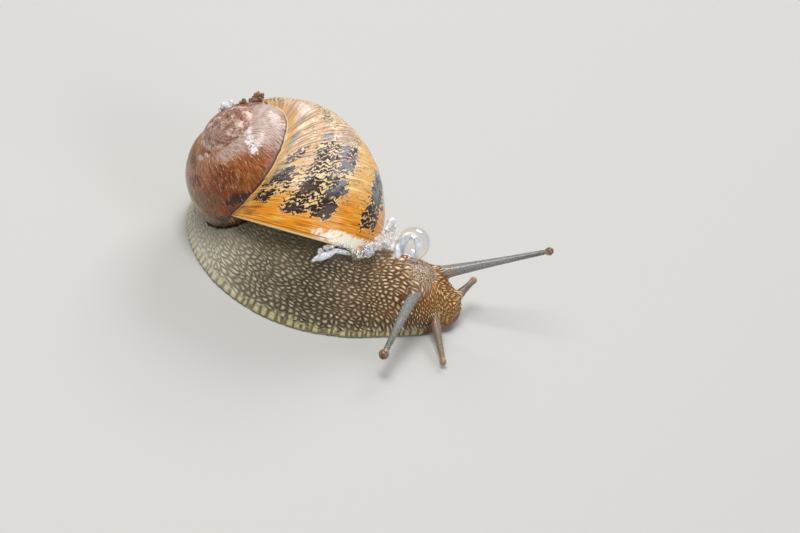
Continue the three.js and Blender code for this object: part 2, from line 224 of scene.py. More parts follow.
fine = np.arange(0, FINE_SPAN, FINE_STEP)
old = np.arange(FINE_SPAN, 2 * math.pi * WHORLS, OLD_STEP)
grown = -np.concatenate([fine, old])[::-1]
phi = np.linspace(-math.pi, math.pi, RING_POINTS, endpoint=False)
lip = lip_turn(phi)
turn_grid, phi_grid = np.meshgrid(grown, phi, indexing="ij")
turned = turn_grid + lip
local = ring_point(turned, phi_grid)
outer = to_place(local)
along = np.gradient(outer, axis=0)
around = np.roll(outer, -1, 1) - np.roll(outer, 1, 1)
outward = np.cross(around, along)
outward /= np.linalg.norm(outward, axis=-1, keepdims=True)
middle = outer.mean(axis=1, keepdims=True)
outward *= np.sign(((outer - middle) * outward).sum(-1).mean())

# ribs of growth, a few deeper breaks and a faint unevenness
RIB_HEIGHT, BREAK_HEIGHT, UNEVEN_HEIGHT = 0.030, 0.10, 0.05      # mm
FINE_RIB, WIDE_RIB, BREAK_SPAN = 0.040, 0.075, 0.33              # from one to the next, radians
scale = np.exp(growth_rate * turn_grid)
wander = turn_grid + 0.012 * value_noise(phi_grid * 2.2 + turn_grid * 0.8, 3)
ribs = value_noise(wander / FINE_RIB, 5) * 0.6 + value_noise(wander / WIDE_RIB, 6)
breaks = value_noise(wander / BREAK_SPAN, 8) ** 3
uneven = value_noise(phi_grid * 3.0 + 7.0 * value_noise(turn_grid * 1.3, 9), 10)
fade = np.clip((2 * math.pi * WHORLS + turn_grid) / 6, 0, 1)     # the oldest turn is smooth
rise = RIB_HEIGHT * ribs + BREAK_HEIGHT * breaks + UNEVEN_HEIGHT * uneven
rise = rise * np.minimum(scale * 1.3, 1) * fade
outer = outer + outward * rise[..., None]

# distance of every point from the whorl before and the whorl after it
join = np.full(turn_grid.shape, NO_WHORL)
cover = join
for back in range(5):
    gap_here, turn_there = whorl_distance(local, back)
    older = np.abs(turn_there - turned + 2 * math.pi) < math.pi
    newer = np.abs(turn_there - turned - 2 * math.pi) < math.pi
    join = np.where(older, gap_here, join)
    cover = np.where(newer & (turn_there < PAST_LIP), gap_here, cover)

# the lip turns in and the inner wall runs back into the mouth
rows = list(outer)
for depth, wall in MOUTH_WALL:
    row = to_place(ring_point(lip - depth, phi))
    inward = row.mean(axis=0) - row
    inward /= np.linalg.norm(inward, axis=-1, keepdims=True)
    rows.append(row + inward * wall)
apex = outer[0].mean(axis=0) + spire * 0.25
deep = rows[-1].mean(axis=0)


def with_inner(values, inner, last):
    """Point values for the outer wall, the rows of the inner wall and the two end points."""
    rest = np.repeat(np.ones(len(MOUTH_WALL)) * inner, RING_POINTS)
    return np.concatenate([values.reshape(-1), rest, last])


points = np.concatenate(rows + [[apex, deep]])
shell = make_piece("shell_coil", points, tube_faces(len(rows), RING_POINTS), {
    "growth": with_inner(-turn_grid, [-depth for depth, _ in MOUTH_WALL], [27.0, -1.0]),
    "ring": with_inner(np.degrees(phi_grid), 0, [90, 0]),
    "join": with_inner(join, NO_WHORL, [NO_WHORL] * 2),
    "cover": with_inner(cover, NO_WHORL, [NO_WHORL] * 2),
})


def point_places(mesh):
    """The points of a mesh, metres."""
    places = np.zeros(len(mesh.vertices) * 3, np.float32)
    mesh.vertices.foreach_get("co", places)
    return places.reshape(-1, 3)


def lift_faces(piece):
    """Turns the faces outward where the mesh is inside out."""
    mesh = piece.data
    co = point_places(mesh)
    co = co - co.mean(0)
    mesh.calc_loop_triangles()
    tri = np.zeros(len(mesh.loop_triangles) * 3, np.int32)
    mesh.loop_triangles.foreach_get("vertices", tri)
    a, b, c = (co[tri.reshape(-1, 3)[:, n]] for n in range(3))
    if np.einsum("ij,ij->i", a, np.cross(b, c)).sum() < 0:
        mesh.flip_normals()


lift_faces(shell)


def linear(code):
    """Screen colour, six hex digits, to the shader's linear colour."""
    parts = [int(code[i:i + 2], 16) / 255 for i in (0, 2, 4)]
    return tuple(p / 12.92 if p <= 0.04045 else ((p + 0.055) / 1.055) ** 2.4 for p in parts) + (1.0,)


def fill(tree, inputs, values):
    """Links the inputs whose value is a Flow, and sets the others."""
    for key, value in values.items():
        if isinstance(value, Flow):
            tree.links.new(value.socket, inputs[key])
        else:
            inputs[key].default_value = value


class Flow:
    """A value in a tree of nodes, with plain arithmetic that adds Math nodes."""

    def __init__(self, tree, socket=None):
        self.tree = tree
        self.socket = socket

    def node(self, kind, settings=None, sockets=None, out=0):
        """Any node, from its type, its settings, and the values or links of its sockets."""
        made = self.tree.nodes.new(kind)
        for key, value in (settings or {}).items():
            setattr(made, key, value)
        fill(self.tree, made.inputs, sockets or {})
        return Flow(self.tree, made.outputs[out])

    def also(self, out):
        """Another output of the node that this value comes from."""
        return Flow(self.tree, self.socket.node.outputs[out])

    def math(self, operation, a, b):
        return self.node("ShaderNodeMath", {"operation": operation}, {0: a, 1: b})

    def __add__(self, other):
        return self.math("ADD", self, other)

    def __sub__(self, other):
        return self.math("SUBTRACT", self, other)

    def __mul__(self, other):
        return self.math("MULTIPLY", self, other)

    def __truediv__(self, other):
        return self.math("DIVIDE", self, other)

    def __radd__(self, other):
        return self.math("ADD", other, self)

    def __rsub__(self, other):
        return self.math("SUBTRACT", other, self)

    def value(self, name):
        """A value stored on the mesh."""
        return self.node("ShaderNodeAttribute", {"attribute_name": name}, out=2)

    def step(self, low, high):
        """0 below low, 1 above high, smooth between; low may be the larger."""
        return self.node("ShaderNodeMapRange", {"interpolation_type": "SMOOTHSTEP"},
                         {0: self, 1: low, 2: high, 3: 0.0, 4: 1.0})

    def band(self, low, high, soft):
        """1 between low and high, with soft edges."""
        return self.step(low - soft, low + soft) * self.step(high + soft, high - soft)

    def both(self, other):
        return self.math("MAXIMUM", self, other)

    def mix(self, low, high):
        """The colour low where this is 0, high where it is 1; either may be six hex digits."""
        low, high = (linear(colour) if isinstance(colour, str) else colour for colour in (low, high))
        return self.node("ShaderNodeMix", {"data_type": "RGBA"}, {0: self, 6: low, 7: high}, out=2)

    def under(self, *layers):
        """This colour under layers, each a mask and a colour or three factors of what it covers."""
        colour = self
        for mask, paint in layers:
            if isinstance(paint, tuple):
                paint = self.node("ShaderNodeVectorMath", {"operation": "MULTIPLY"}, {0: colour, 1: paint})
            colour = mask.mix(colour, paint)
        return colour

    def point(self, x, y, z=0.0):
        return self.node("ShaderNodeCombineXYZ", None, {0: x, 1: y, 2: z})

    def noise(self, where, scale, detail, rough):
        return self.node("ShaderNodeTexNoise", None,
                         {"Vector": where, "Scale": scale, "Detail": detail, "Roughness": rough})

    def cells(self, where, stray, feature="DISTANCE_TO_EDGE"):
        """Uneven cells, one for each unit of a plane, that stray from even rows by 0 to 1."""
        return self.node("ShaderNodeTexVoronoi", {"feature": feature, "voronoi_dimensions": "2D"},
                         {"Vector": where, "Scale": 1.0, "Randomness": stray})

    def beads(self, where, scale, smoothness):
        """Distance from the middles of small round cells."""
        return self.node("ShaderNodeTexVoronoi", {"feature": "SMOOTH_F1"},
                         {"Vector": where, "Scale": scale, "Smoothness": smoothness})

    def scaled(self, factor):
        """A vector times a number."""
        return self.node("ShaderNodeVectorMath", {"operation": "SCALE"}, {0: self, "Scale": factor})

    def place(self):
        """Object coordinates in millimetres."""
        return self.node("ShaderNodeTexCoord", out=3).scaled(1000.0)

    def bump(self, height, strength, distance):
        return self.node("ShaderNodeBump", None,
                         {"Height": height, "Strength": strength, "Distance": distance})


class Finish(Flow):
    """A material, and the Flow that writes its nodes."""

    def __init__(self, name):
        self.material = bpy.data.materials.new(name)
        self.material.use_nodes = True
        super().__init__(self.material.node_tree)

    def feed(self, **sockets):
        """Fills the sockets of the Principled shader; an underscore stands for a space."""
        shader = self.tree.nodes["Principled BSDF"]
        fill(self.tree, shader.inputs, {key.replace("_", " "): value for key, value in sockets.items()})


flow = Finish("shell_glaze")
growth = flow.value("growth")       # radians behind the lip
ring = flow.value("ring")           # degrees about the ring, 0 outermost, 90 on top
join = flow.value("join")           # mm from the whorl before
cover = flow.value("cover")         # mm from the whorl after
where = flow.place()
old = growth.step(4.0, 4.5)         # 0 on the last whorl, 1 on the whorls before it
# the lines of growth lean on the older whorls
leaning = growth - old * ring * 0.009


def laid(along, across, detail, rough, layer=0.0):
    """Noise that follows the coil, at places counted in bumps."""
    return flow.noise(flow.point(along, across, layer), 1.0, detail, rough)


lines = laid(leaning * 34.0, ring * (0.022 + old * 0.05), 4.0, 0.65)
hair = laid(leaning * 95.0, ring * 0.06, 2.0, 0.6)
blots = laid(growth * 7.0, ring * 0.10, 3.0, 0.6)
fray = laid(growth * 9.0, ring * 0.16, 4.0, 0.65, 4.0) - 0.5
tatter = laid(growth * 13.0, ring * 0.24, 4.0, 0.7, 9.0) - 0.5
crackle = flow.noise(where, 1.9, 4.0, 0.7)


def blob(u, phi, half_u, half_phi, lean=0.0):
    """1 inside an oval on the shell with frayed edges, 0 outside."""
    a = (growth - (ring - phi) * lean - u) / half_u + tatter * 2.4
    b = (ring - phi) / half_phi + fray * 2.4
    return (a * a + b * b).step(1.7, 0.4)


# ground colour: deep orange by the lip, cream and pink behind it, russet on the older whorls
young = (growth + fray * 0.10).step(0.62, 0.30)
mist = laid(growth * 8.0, ring * 0.10, 4.0, 0.65, 21.0)
misty = growth.step(2.1, 1.6) * growth.step(0.5, 0.75)
ground = growth.step(0.6, 1.3).mix("dfb677", "cdad8e").under(
    (mist.step(0.50, 0.60) * misty * 0.75, "f2e2c0"),
    (mist.step(0.44, 0.36) * misty * 0.60, "c9967e"),
    (growth.step(1.5, 2.3) * ring.step(60.0, 72.0), "b9937a"),
    (ring.band(-12.0, 9.0, 4.0) * growth.step(1.7, 1.2) * 0.7, "e4b264"),
    (young, "e08e0e"))
patchy = flow.noise(where, 0.75, 4.0, 0.65)
cap = blots.step(0.42, 0.60).mix("84594a", "b58f80").under(
    (patchy.step(0.50, 0.60) * 0.8, "dccabc"),
    (patchy.step(0.40, 0.34) * 0.8, "5c3a2a"))
russet = (ring + hair * 44.0 - 22.0).step(24.0, 66.0).mix("9e4c04", "a8785c").under(
    (growth.step(6.3, 7.1), "c4b0aa"),
    (growth.step(8.2, 9.2), cap))

SHELL_MARKS = (   # growth and ring angles of the middle, half sizes, lean, strength, colour
    (1.95, 57.0, 0.16, 7.0, 0.0, 0.6, "f1e9e0"),     # worn places on the last whorl
    (1.38, 70.0, 0.13, 5.0, -0.01, 0.75, "8f9894"),
    (1.20, 40.0, 0.06, 5.0, 0.0, 0.8, "8b9497"),
    (1.74, 66.0, 0.10, 5.0, 0.0, 0.6, "ab9aa0"),
    (1.53, 38.0, 0.08, 5.0, 0.0, 0.8, "6f5550"),
    (1.17, 8.0, 0.06, 4.0, 0.0, 0.6, "8c6a5a"),
    (0.90, 33.0, 0.28, 16.0, 0.0, 0.55, "c3b0b8"),
    (1.20, 18.0, 0.16, 10.0, 0.0, 0.5, "a8958c"),
    (0.88, 67.0, 0.10, 4.0, 0.0, 0.7, "8a827c"),
    (0.70, 64.0, 0.06, 4.0, 0.0, 0.7, "79777a"),
    (0.20, 74.0, 0.24, 4.5, 0.0, 0.85, "55401a"),
    (0.20, 63.0, 0.18, 5.0, 0.0, 0.6, "96530f"),
    (4.62, 18.0, 0.20, 26.0, 0.0, 0.9, "8a8a3c"),   # the whorl before it
    (4.85, 62.0, 0.40, 12.0, 0.0, 0.8, "6f573e"),
    (5.15, 55.0, 0.18, 8.0, 0.0, 0.7, "653516"),
    (5.00, 10.0, 0.26, 18.0, 0.0, 0.75, "82613b"),
    (4.90, -34.0, 0.45, 24.0, 0.0, 0.9, "33260f"),
    (4.62, -16.0, 0.20, 9.0, 0.0, 0.7, "86806c"),
    (5.12, 34.0, 0.21, 8.0, 0.012, 1.0, "7a3002"),
    (5.72, 28.0, 0.30, 24.0, 0.009, 0.85, "7b3600"),
    (6.30, 30.0, 0.36, 22.0, 0.009, 0.75, "99561f"),
    (5.60, 2.0, 0.24, 7.0, 0.0, 0.95, "341203"),
    (5.32, 12.0, 0.10, 7.0, 0.0, 0.8, "7d5c14"),
    (6.10, 13.0, 0.32, 4.5, 0.028, 0.8, "8a5510"),
    (5.75, 74.0, 0.26, 7.0, 0.0, 0.7, "8b5a34"),
    (5.52, 66.0, 0.16, 4.0, 0.01, 0.8, "b9b4ac"),
    (5.82, 72.0, 0.10, 4.0, 0.0, 0.8, "d8d0cc"),
    (5.95, 77.0, 0.08, 3.0, 0.0, 0.8, "4a3018"),
    (6.45, 66.0, 0.40, 12.0, 0.012, 0.7, "c6b0ac"),
    (7.52, 29.0, 0.18, 9.0, 0.0, 0.7, "b07c68"),
    (8.65, 66.0, 0.05, 14.0, 0.02, 0.8, "6b4a38"),
    (12.1, 70.0, 0.70, 16.0, 0.0, 0.7, "a98f88"),
    (9.5, 72.0, 0.50, 12.0, 0.0, 0.6, "7c5c48"),
)
coil = old.mix(ground, russet).under(
    *((blob(*oval) * strength, colour) for *oval, strength, colour in SHELL_MARKS))

# streaks of growth, dark and pale, closer beside the seam
seamward = growth.band(0.85, 1.9, 0.15) * ring.band(34.0, 76.0, 6.0)
pale = old.mix(growth.step(0.6, 0.3).mix("f7e7c4", "f4c45a"), "d8ac86")
coil = coil.under(
    (lines.step(old * 0.06 + 0.46, old * 0.06 + 0.30) * 0.85, (0.40, 0.26, 0.18)),
    (lines.step(0.50, 0.42) * seamward * 0.6, (0.42, 0.30, 0.24)),
    (lines.step(0.54, 0.67) * (0.75 - old * 0.15), pale),
    (hair.step(0.45, 0.35) * young * 0.55, "f3cf7c"),
    (hair.step(0.54, 0.66) * 0.75, (0.40, 0.28, 0.22)))

# dark belts, broken into teeth and scribbles along the lines of growth
warp = laid(growth * 9.0, ring * 0.20, 3.5, 0.6)
scribble = flow.math("PINGPONG", growth * 17.0 + warp * 4.2, 0.5) * 2.0
BELTS = (    # growth and ring angles from and to, softness of the ends, strength
    (0.19, 0.66, 12.0, 27.0, 0.05, 0.92),
    (0.66, 1.07, 11.0, 27.0, 0.10, 0.84),
    (1.00, 1.08, 11.0, 35.0, 0.02, 0.85),
    (0.18, 0.64, 31.0, 45.0, 0.05, 0.92),
    (0.64, 1.15, 31.0, 47.0, 0.12, 0.80),
    (0.20, 1.05, 25.0, 33.0, 0.05, 0.70),
    (0.20, 0.48, -28.0, -9.0, 0.05, 0.80),
    (0.44, 0.85, -30.0, -10.0, 0.08, 0.98),
    (0.58, 0.84, 57.0, 76.0, 0.04, 0.92),
    (0.33, 0.52, 57.0, 75.0, 0.04, 0.90),
    (0.40, 0.78, 50.0, 58.0, 0.06, 0.72),
    (0.92, 1.14, 54.0, 70.0, 0.05, 0.76),
    (0.25, 0.75, 44.0, 49.0, 0.08, 0.60),
    (1.32, 1.42, 28.0, 36.0, 0.04, 0.70),
    (1.40, 1.95, 34.0, 44.0, 0.10, 0.58),
    (1.10, 1.22, 6.0, 16.0, 0.03, 0.74),
    (1.48, 1.62, 14.0, 26.0, 0.05, 0.56),
    (0.30, 2.40, -60.0, 60.0, 0.15, 0.30),
    (1.60, 5.00, 11.0, 27.0, 0.25, 0.84),     # round the back, where the belts run on
    (2.30, 5.00, 33.0, 46.0, 0.25, 0.84),
    (1.05, 5.00, -28.0, -9.0, 0.20, 0.90),
    (2.50, 5.00, 60.0, 71.0, 0.30, 0.70),
)
swayed = ring + (blots - 0.5) * 10.0 + tatter * 16.0
strayed = growth + fray * 0.40 + tatter * 0.16
belts = None
for u0, u1, phi0, phi1, soft, strength in BELTS:
    belt = strayed.band(u0, u1, soft) * swayed.band(phi0, phi1, 2.5) * strength
    belts = belt if belts is None else belts.both(belt)
tooth = laid(growth * 24.0, ring * 0.30, 2.0, 0.6)
dark = (belts * (0.40 + blots * 0.82) - scribble * 0.55 - tooth * 0.42).step(-0.04, 0.06)
# grey-blue painted sheen on the dark belts
painted_sheen = blots.step(0.42, 0.56).mix("45444f", "868e94")
veil = blots.step(0.44, 0.60).mix("5a4750", "83858c")
tar = blots.step(0.42, 0.62).mix("160d08", "3c1c17").under(
    (growth.band(0.49, 1.7, 0.13) * ring.step(31.0, 24.0) * 0.85, painted_sheen),
    (growth.band(0.69, 1.75, 0.11) * 0.55, veil))
coil = coil.under(
    (belts.step(0.25, 0.8) * (1.0 - old) * (0.25 + mist * 0.80), "f0dba8"),
    (dark * (1.0 - old), tar))

# chalky places where the outer skin of the shell is gone, dark streaks and painted glints on the older
# whorls, the suture, the lip
chalk = blob(6.72, 47.0, 0.10, 9.0, 0.015).both(blob(6.98, 62.0, 0.13, 9.0, 0.02))
chalk = chalk.both(blob(7.45, 77.0, 0.20, 7.0, 0.03)).both(blob(9.85, 66.0, 0.25, 10.0))
grime = crackle.step(0.62, 0.74) * old * ring.step(35.0, 70.0)
fresh = old * growth.step(8.6, 7.8)
dark_streaks_and_glints = laid(leaning * 40.0 + fray * 4.0, ring * 0.085, 4.0, 0.65, 6.0)
# painted glints: pale dashes where light catches the wrinkles of the older whorls; the dark streaks from
# the same noise are the shell's own
painted_glint = dark_streaks_and_glints.step(0.56, 0.66) * fresh * crackle.step(0.42, 0.54) * ring.band(22.0, 64.0, 10.0)
seam_shade = cover.band(-0.3, 0.30, 0.10) * old * growth.step(9.0, 7.8)
seam_there = growth.step(5.5, 5.0).both(growth.band(6.5, 9.0, 0.3) * crackle.step(0.45, 0.6) * 0.5)
seam_line = join.band(-0.2, 0.16, 0.07) * seam_there * (0.45 + blots * 0.8)
seam_side = join.band(0.28, 1.1, 0.25) * growth.step(5.2, 4.8) * lines.step(0.42, 0.54)
ivory = blob(0.068, -8.0, 0.052, 23.0).both(blob(0.05, -44.0, 0.12, 12.0))
coil = coil.under(
    (chalk * crackle.step(0.40, 0.56), "ececee"),
    (dark_streaks_and_glints.step(0.44, 0.34) * fresh * 0.8, (0.38, 0.25, 0.16)),
    # the painted glints
    (painted_glint * 0.7, "e6cfbb"),
    (grime * 0.7, "5a3d2a"),
    (seam_shade * 0.8, "3b220d"),
    (seam_line, "e6cf9e"),
    (seam_side * 0.7, "d3a24e"),
    (ivory * fray.step(-0.22, -0.02), "f6f2df"),
    (growth.band(0.030, 0.042, 0.005) * ring.band(4.0, 60.0, 4.0) * 0.8, "8a4a16"),
    (growth.step(0.020, 0.011), "dfc793"))
worn = chalk.both(ring.step(45.0, 70.0) * old).both(growth.band(0.6, 3.0, 0.2) * 0.9)
height = lines * 0.55 + hair * 0.45 + chalk * crackle * 1.2 - grime * 0.4 + painted_glint * 0.3
flow.feed(Base_Color=coil, Roughness=0.28 + blots * 0.14 + worn * 0.25,
          Normal=flow.bump(height, 0.6, 0.00014), Coat_Weight=0.40 - worn * 0.38, Coat_Roughness=0.09,
          Specular_IOR_Level=0.30)
shell.data.materials.append(flow.material)
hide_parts("shell")
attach(shell, "root")

# ---------------------------------------------------------------------------
# Skin: one wet hide from tail to mouth. It is soft and full of water, and
# stands up in pale warts with dark grooves between them.
# ---------------------------------------------------------------------------
STATIONS = np.array([   # x, y, half width of the sole, half width of the back, height
    [-22.0, 34.0, 0.5, 0.4, 0.7],
    [-24.6, 28.2, 2.7, 2.3, 2.5],
    [-25.6, 20.6, 4.3, 3.8, 4.0],
    [-22.7, 13.2, 5.8, 5.2, 6.6],
    [-17.6, 8.5, 7.4, 6.8, 12.5],
    [-12.6, 6.9, 8.7, 7.9, 17.0],
    [-7.6, 6.8, 9.0, 8.1, 17.5],
    [-2.6, 7.6, 8.3, 7.2, 13.8],
    [1.6, 8.9, 7.3, 6.3, 11.3],
    [5.2, 10.0, 6.2, 5.4, 10.2],
    [8.8, 11.2, 5.0, 4.7, 9.0],
    [11.6, 12.6, 4.0, 3.8, 5.0],
    [13.4, 13.4, 2.4, 2.0, 2.2],
])
STATIONS[:, :2] += OFFSET[:2]
BACK_POWER, FRINGE_FADE, SOLE_ROUND = 2.5, 1.1, 0.5     # squareness of the back; of the sole's fringe
HEAD_RINGS = np.array([  # x, y, z, half width, half height, heading, roll in degrees
    [6.3, 10.6, 5.5, 5.2, 4.8, 14, 2],
    [8.6, 11.5, 5.2, 4.9, 4.35, 8, 6],
    [10.6, 12.2, 4.45, 4.5, 3.7, 2, 10],
    [12.4, 12.6, 3.7, 4.0, 3.0, -8, 12],
    [13.8, 12.7, 2.95, 3.6, 2.35, -16, 12],
    [14.8, 12.6, 2.35, 3.1, 1.8, -20, 12],
    [15.5, 12.3, 2.0, 2.3, 1.3, -20, 12],
])
HEAD_RINGS[:, :3] += OFFSET
NOSE_LENGTH, NAPE_LENGTH, HEAD_FLOOR = 0.35, 2.5, 0.4   # the head's rounded ends, height off floor
LIP_LINE = np.array([    # x, y, z and thickness of the lip, from its right corner to its left
    [13.5, 9.7, 1.05, 0.50],
    [14.2, 10.5, 1.20, 0.75],
    [15.0, 11.8, 1.30, 0.86],
    [15.6, 13.2, 1.45, 0.80],
    [15.9, 14.5, 1.70, 0.58],
])
LIP_LINE[:, :3] += OFFSET
FEELERS = {   # root, tip, radii at the root, the middle and the end, knob, fillet at the root
    "upper_right": ([8.75, 9.7, 8.6], [7.2, -6.1, 4.3], (1.3, 0.62, 0.46), 0.8, 1.5),
    "upper_left": ([9.5, 14.2, 6.55], [26.06, 19.6, 15.0], (1.25, 0.62, 0.4), 0.66, 1.3),
    "lower_right": ([12.5, 9.4, 3.2], [16.2, 1.7, 1.0], (0.9, 0.56, 0.43), 0.54, 0.7),
    "lower_left": ([14.3, 12.8, 3.9], [16.6, 19.1, 5.2], (1.0, 0.58, 0.5), 0.54, 0.7),
}
FEELERS = {key: (np.array(root) + OFFSET, np.array(tip) + OFFSET, radii, knob, fillet)
           for key, (root, tip, radii, knob, fillet) in FEELERS.items()}
SHELL_CLEAR = 0.12       # skin stays this far off the shell, mm
COAT_DEPTH = 0.10        # grooves between the warts lie this far in
STEM_BARE = 0.08         # the feelers have no warts and are this much thicker than the grooves
STALK_TAPER, KNOB_BLEND, KNOB_SUNK = 2.2, 0.3, 0.55     # a stalk runs this far into its knob, radii
EYE_NECK = 1.16          # the stalk of an upper feeler stops here behind its eye, in eye radii
HEAD_BLEND, LIP_BLEND, COLLAR_BLEND, SOLE_BLEND = 0.9, 0.22, 0.8, 0.6    # fillets between the parts
LIP_REACH, FEELER_REACH = 6.0, 3.0       # the lips and the feelers are worked out this far off only
LIP_END = 1.3            # the last whorl has ended at this turn
HOLLOW_WALL, HOLLOW_DEPTH = 0.55, 4.5    # the mouth's wall, and how far in it is hollow
COLLAR_WALL, COLLAR_IN, COLLAR_DEPTH = 0.62, 0.45, 4.0   # flesh off the wall, behind the lip, and how deep


def follow(table, t):
    """Catmull-Rom curve through the rows of a table, at positions counted in rows."""
    i = np.clip(np.floor(t).astype(int), 0, len(table) - 2)
    f = (t - i)[..., None]
    p1, p2 = table[i], table[i + 1]
    p0 = np.where((i > 0)[..., None], table[np.maximum(i - 1, 0)], 2 * p1 - p2)
    p3 = np.where((i + 2 < len(table))[..., None], table[np.minimum(i + 2, len(table) - 1)],
                  2 * p2 - p1)
    return 0.5 * (2 * p1 + (p2 - p0) * f + (2 * p0 - 5 * p1 + 4 * p2 - p3) * f * f
                  + (3 * p1 - p0 - 3 * p2 + p3) * f ** 3)


dense = follow(STATIONS, np.linspace(0, len(STATIONS) - 1, 2400))
path_length = np.concatenate([[0], np.cumsum(np.hypot(*np.diff(dense[:, :2], axis=0).T))])
PATH_STEP = 0.1
path_s = np.arange(0, path_length[-1], PATH_STEP)
path = np.stack([np.interp(path_s, path_length, dense[:, k]) for k in range(5)], -1)
path_tangent = np.gradient(path[:, :2], axis=0)
path_tangent /= np.linalg.norm(path_tangent, axis=1, keepdims=True)
MAP_STEP, MAP_LOW, MAP_HIGH = 0.5, (-32, -26), (34, 28)    # a map of the nearest place on the path
map_x, map_y = np.meshgrid(*map(np.arange, MAP_LOW, MAP_HIGH, (MAP_STEP, MAP_STEP)), indexing="ij")
near_path = np.argmin((map_x[..., None] - path[:, 0]) ** 2
                      + (map_y[..., None] - path[:, 1]) ** 2, axis=-1) * PATH_STEP


def sample_path(s, table):
    f = np.clip(s / PATH_STEP, 0, len(path) - 1.001)
    i = f.astype(int)
    f = (f - i)[:, None]
    return table[i] * (1 - f) + table[i + 1] * f


def along_body(p):
    """Distances along the foot from the tail, to its left and past its end, and its widths."""
    cell = np.clip(np.round((p[:, :2] - MAP_LOW) / MAP_STEP).astype(int), 0,
                   np.array(near_path.shape) - 1)
    s = near_path[cell[:, 0], cell[:, 1]]
    for _ in range(5):
        away = p[:, :2] - sample_path(s, path[:, :2])
        tangent = sample_path(s, path_tangent)
        s = np.clip(s + 0.8 * (away * tangent).sum(1), 0, path_s[-1] - 0.01)
    row = sample_path(s, path)
    away = p[:, :2] - row[:, :2]
    tangent = sample_path(s, path_tangent)
    past = np.abs((away * tangent).sum(1))
    past = np.where((s < 0.02) | (s > path_s[-1] - 0.05), past, 0)
    left = away[:, 1] * tangent[:, 0] - away[:, 0] * tangent[:, 1]
    return s, left, past, row[:, 2:]


def soft_max(a, b, k):
    h = np.maximum(k - np.abs(a - b), 0) / k
    return np.maximum(a, b) + h * h * k * 0.25


def soft_min(a, b, k):
    return -soft_max(-a, -b, k)


def body_distance(p):
    s, left, past, widths = along_body(p)
    sole, back, tall = widths.T
    z = p[:, 2]
    across = np.hypot(left, past)
    wide = back + (sole - back) * np.exp(-np.maximum(z - SOLE_ROUND, 0) / FRINGE_FADE)
    x = across / wide
    y = np.maximum(z - SOLE_ROUND, 0) / (tall - SOLE_ROUND)
    level = np.maximum((x ** BACK_POWER + y ** BACK_POWER) ** (1 / BACK_POWER), 1e-4)
    slope = np.hypot((x / level) ** (BACK_POWER - 1) / wide,
                     (y / level) ** (BACK_POWER - 1) / (tall - SOLE_ROUND))
    return (level - 1) / np.maximum(slope, 0.02)


head_dense = follow(HEAD_RINGS, np.linspace(-0.13, len(HEAD_RINGS) - 1, 90))
head_turn = np.radians(head_dense[:, 5])
head_ahead = np.stack([np.cos(head_turn), np.sin(head_turn)], -1)
head_s = np.concatenate([[0], np.cumsum(np.hypot(*np.diff(head_dense[:, :2], axis=0).T))])


def along_head(p):
    """Distance along the head, offsets from its middle, distances past its ends, half sizes."""
    ahead = ((p[:, None, :2] - head_dense[None, :, :2]) * head_ahead[None]).sum(-1)
    i = np.clip((ahead > 0).sum(1) - 1, 0, len(head_dense) - 2)
    here = np.arange(len(p))
    f = np.clip(ahead[here, i] / (ahead[here, i] - ahead[here, i + 1]), 0, 1)[:, None]
    row = head_dense[i] * (1 - f) + head_dense[i + 1] * f
    turn, roll = np.radians(row[:, 5]), np.radians(row[:, 6])
    across = (p[:, 1] - row[:, 1]) * np.cos(turn) - (p[:, 0] - row[:, 0]) * np.sin(turn)
    up = p[:, 2] - row[:, 2]
    u = across * np.cos(roll) + up * np.sin(roll)
    v = up * np.cos(roll) - across * np.sin(roll)
    front = np.maximum(ahead[:, -1], 0)
    rear = np.maximum(-ahead[:, 0], 0)
    s = head_s[i] + (head_s[i + 1] - head_s[i]) * f[:, 0] + front
    return s, u, v, front, rear, row[:, 3], row[:, 4]


def head_distance(p):
    _, u, v, front, rear, wide, tall = along_head(p)
    x, y = u / wide, v / tall
    z = front / NOSE_LENGTH + rear / NAPE_LENGTH
    level = np.maximum(np.sqrt(x * x + y * y + z * z), 1e-4)
    slope = np.sqrt((x / wide) ** 2 + (y / tall) ** 2 + (z / NOSE_LENGTH) ** 2) / level
    return soft_max((level - 1) / slope, HEAD_FLOOR - p[:, 2], 0.5)


lip_dense = follow(LIP_LINE, np.linspace(0, len(LIP_LINE) - 1, 40))


def lip_distance(p):
    away = np.linalg.norm(p[:, None, :] - lip_dense[None, :, :3], axis=2) - lip_dense[None, :, 3]
    return away.min(axis=1)


def feeler_distance(p, root, tip, radii, knob, plain_end):
    axis = tip - root
    length = np.linalg.norm(axis)
    axis = axis / length
    end = length if plain_end else length - KNOB_SUNK * knob
    t = np.clip((p - root) @ axis / end, 0, 1)
    root_wide, wide, end_wide = radii
    radius = wide + (root_wide - wide) * (1 - t) ** STALK_TAPER + (end_wide - wide) * t * t
    away = np.linalg.norm(p - root - axis * (t * end)[:, None], axis=1) - radius
    if plain_end:
        return soft_min(away, np.linalg.norm(p - tip, axis=1) - knob, KNOB_BLEND)
    return away


def to_shell(p):
    q = (p - SHELL_AT) / SHELL_SIZE
    return np.stack([q @ start, q @ side, q @ spire], -1)


def shell_distance(local):
    """Distance outside the shell's wall, mm, with its mouth hollowed to the inner wall."""
    last, turn = whorl_distance(local, 0)
    plane = (local @ LIP_NORMAL - LIP_OFFSET) * SHELL_SIZE
    last = np.where(turn > LIP_END, NO_WHORL, last)
    hollow = np.maximum(last + HOLLOW_WALL, -plane - HOLLOW_DEPTH)
    solid = np.maximum(np.maximum(last, plane), -hollow)
    for back in range(1, 4):
        older, _ = whorl_distance(local, back)
        solid = np.minimum(solid, older)
    return solid, last, plane


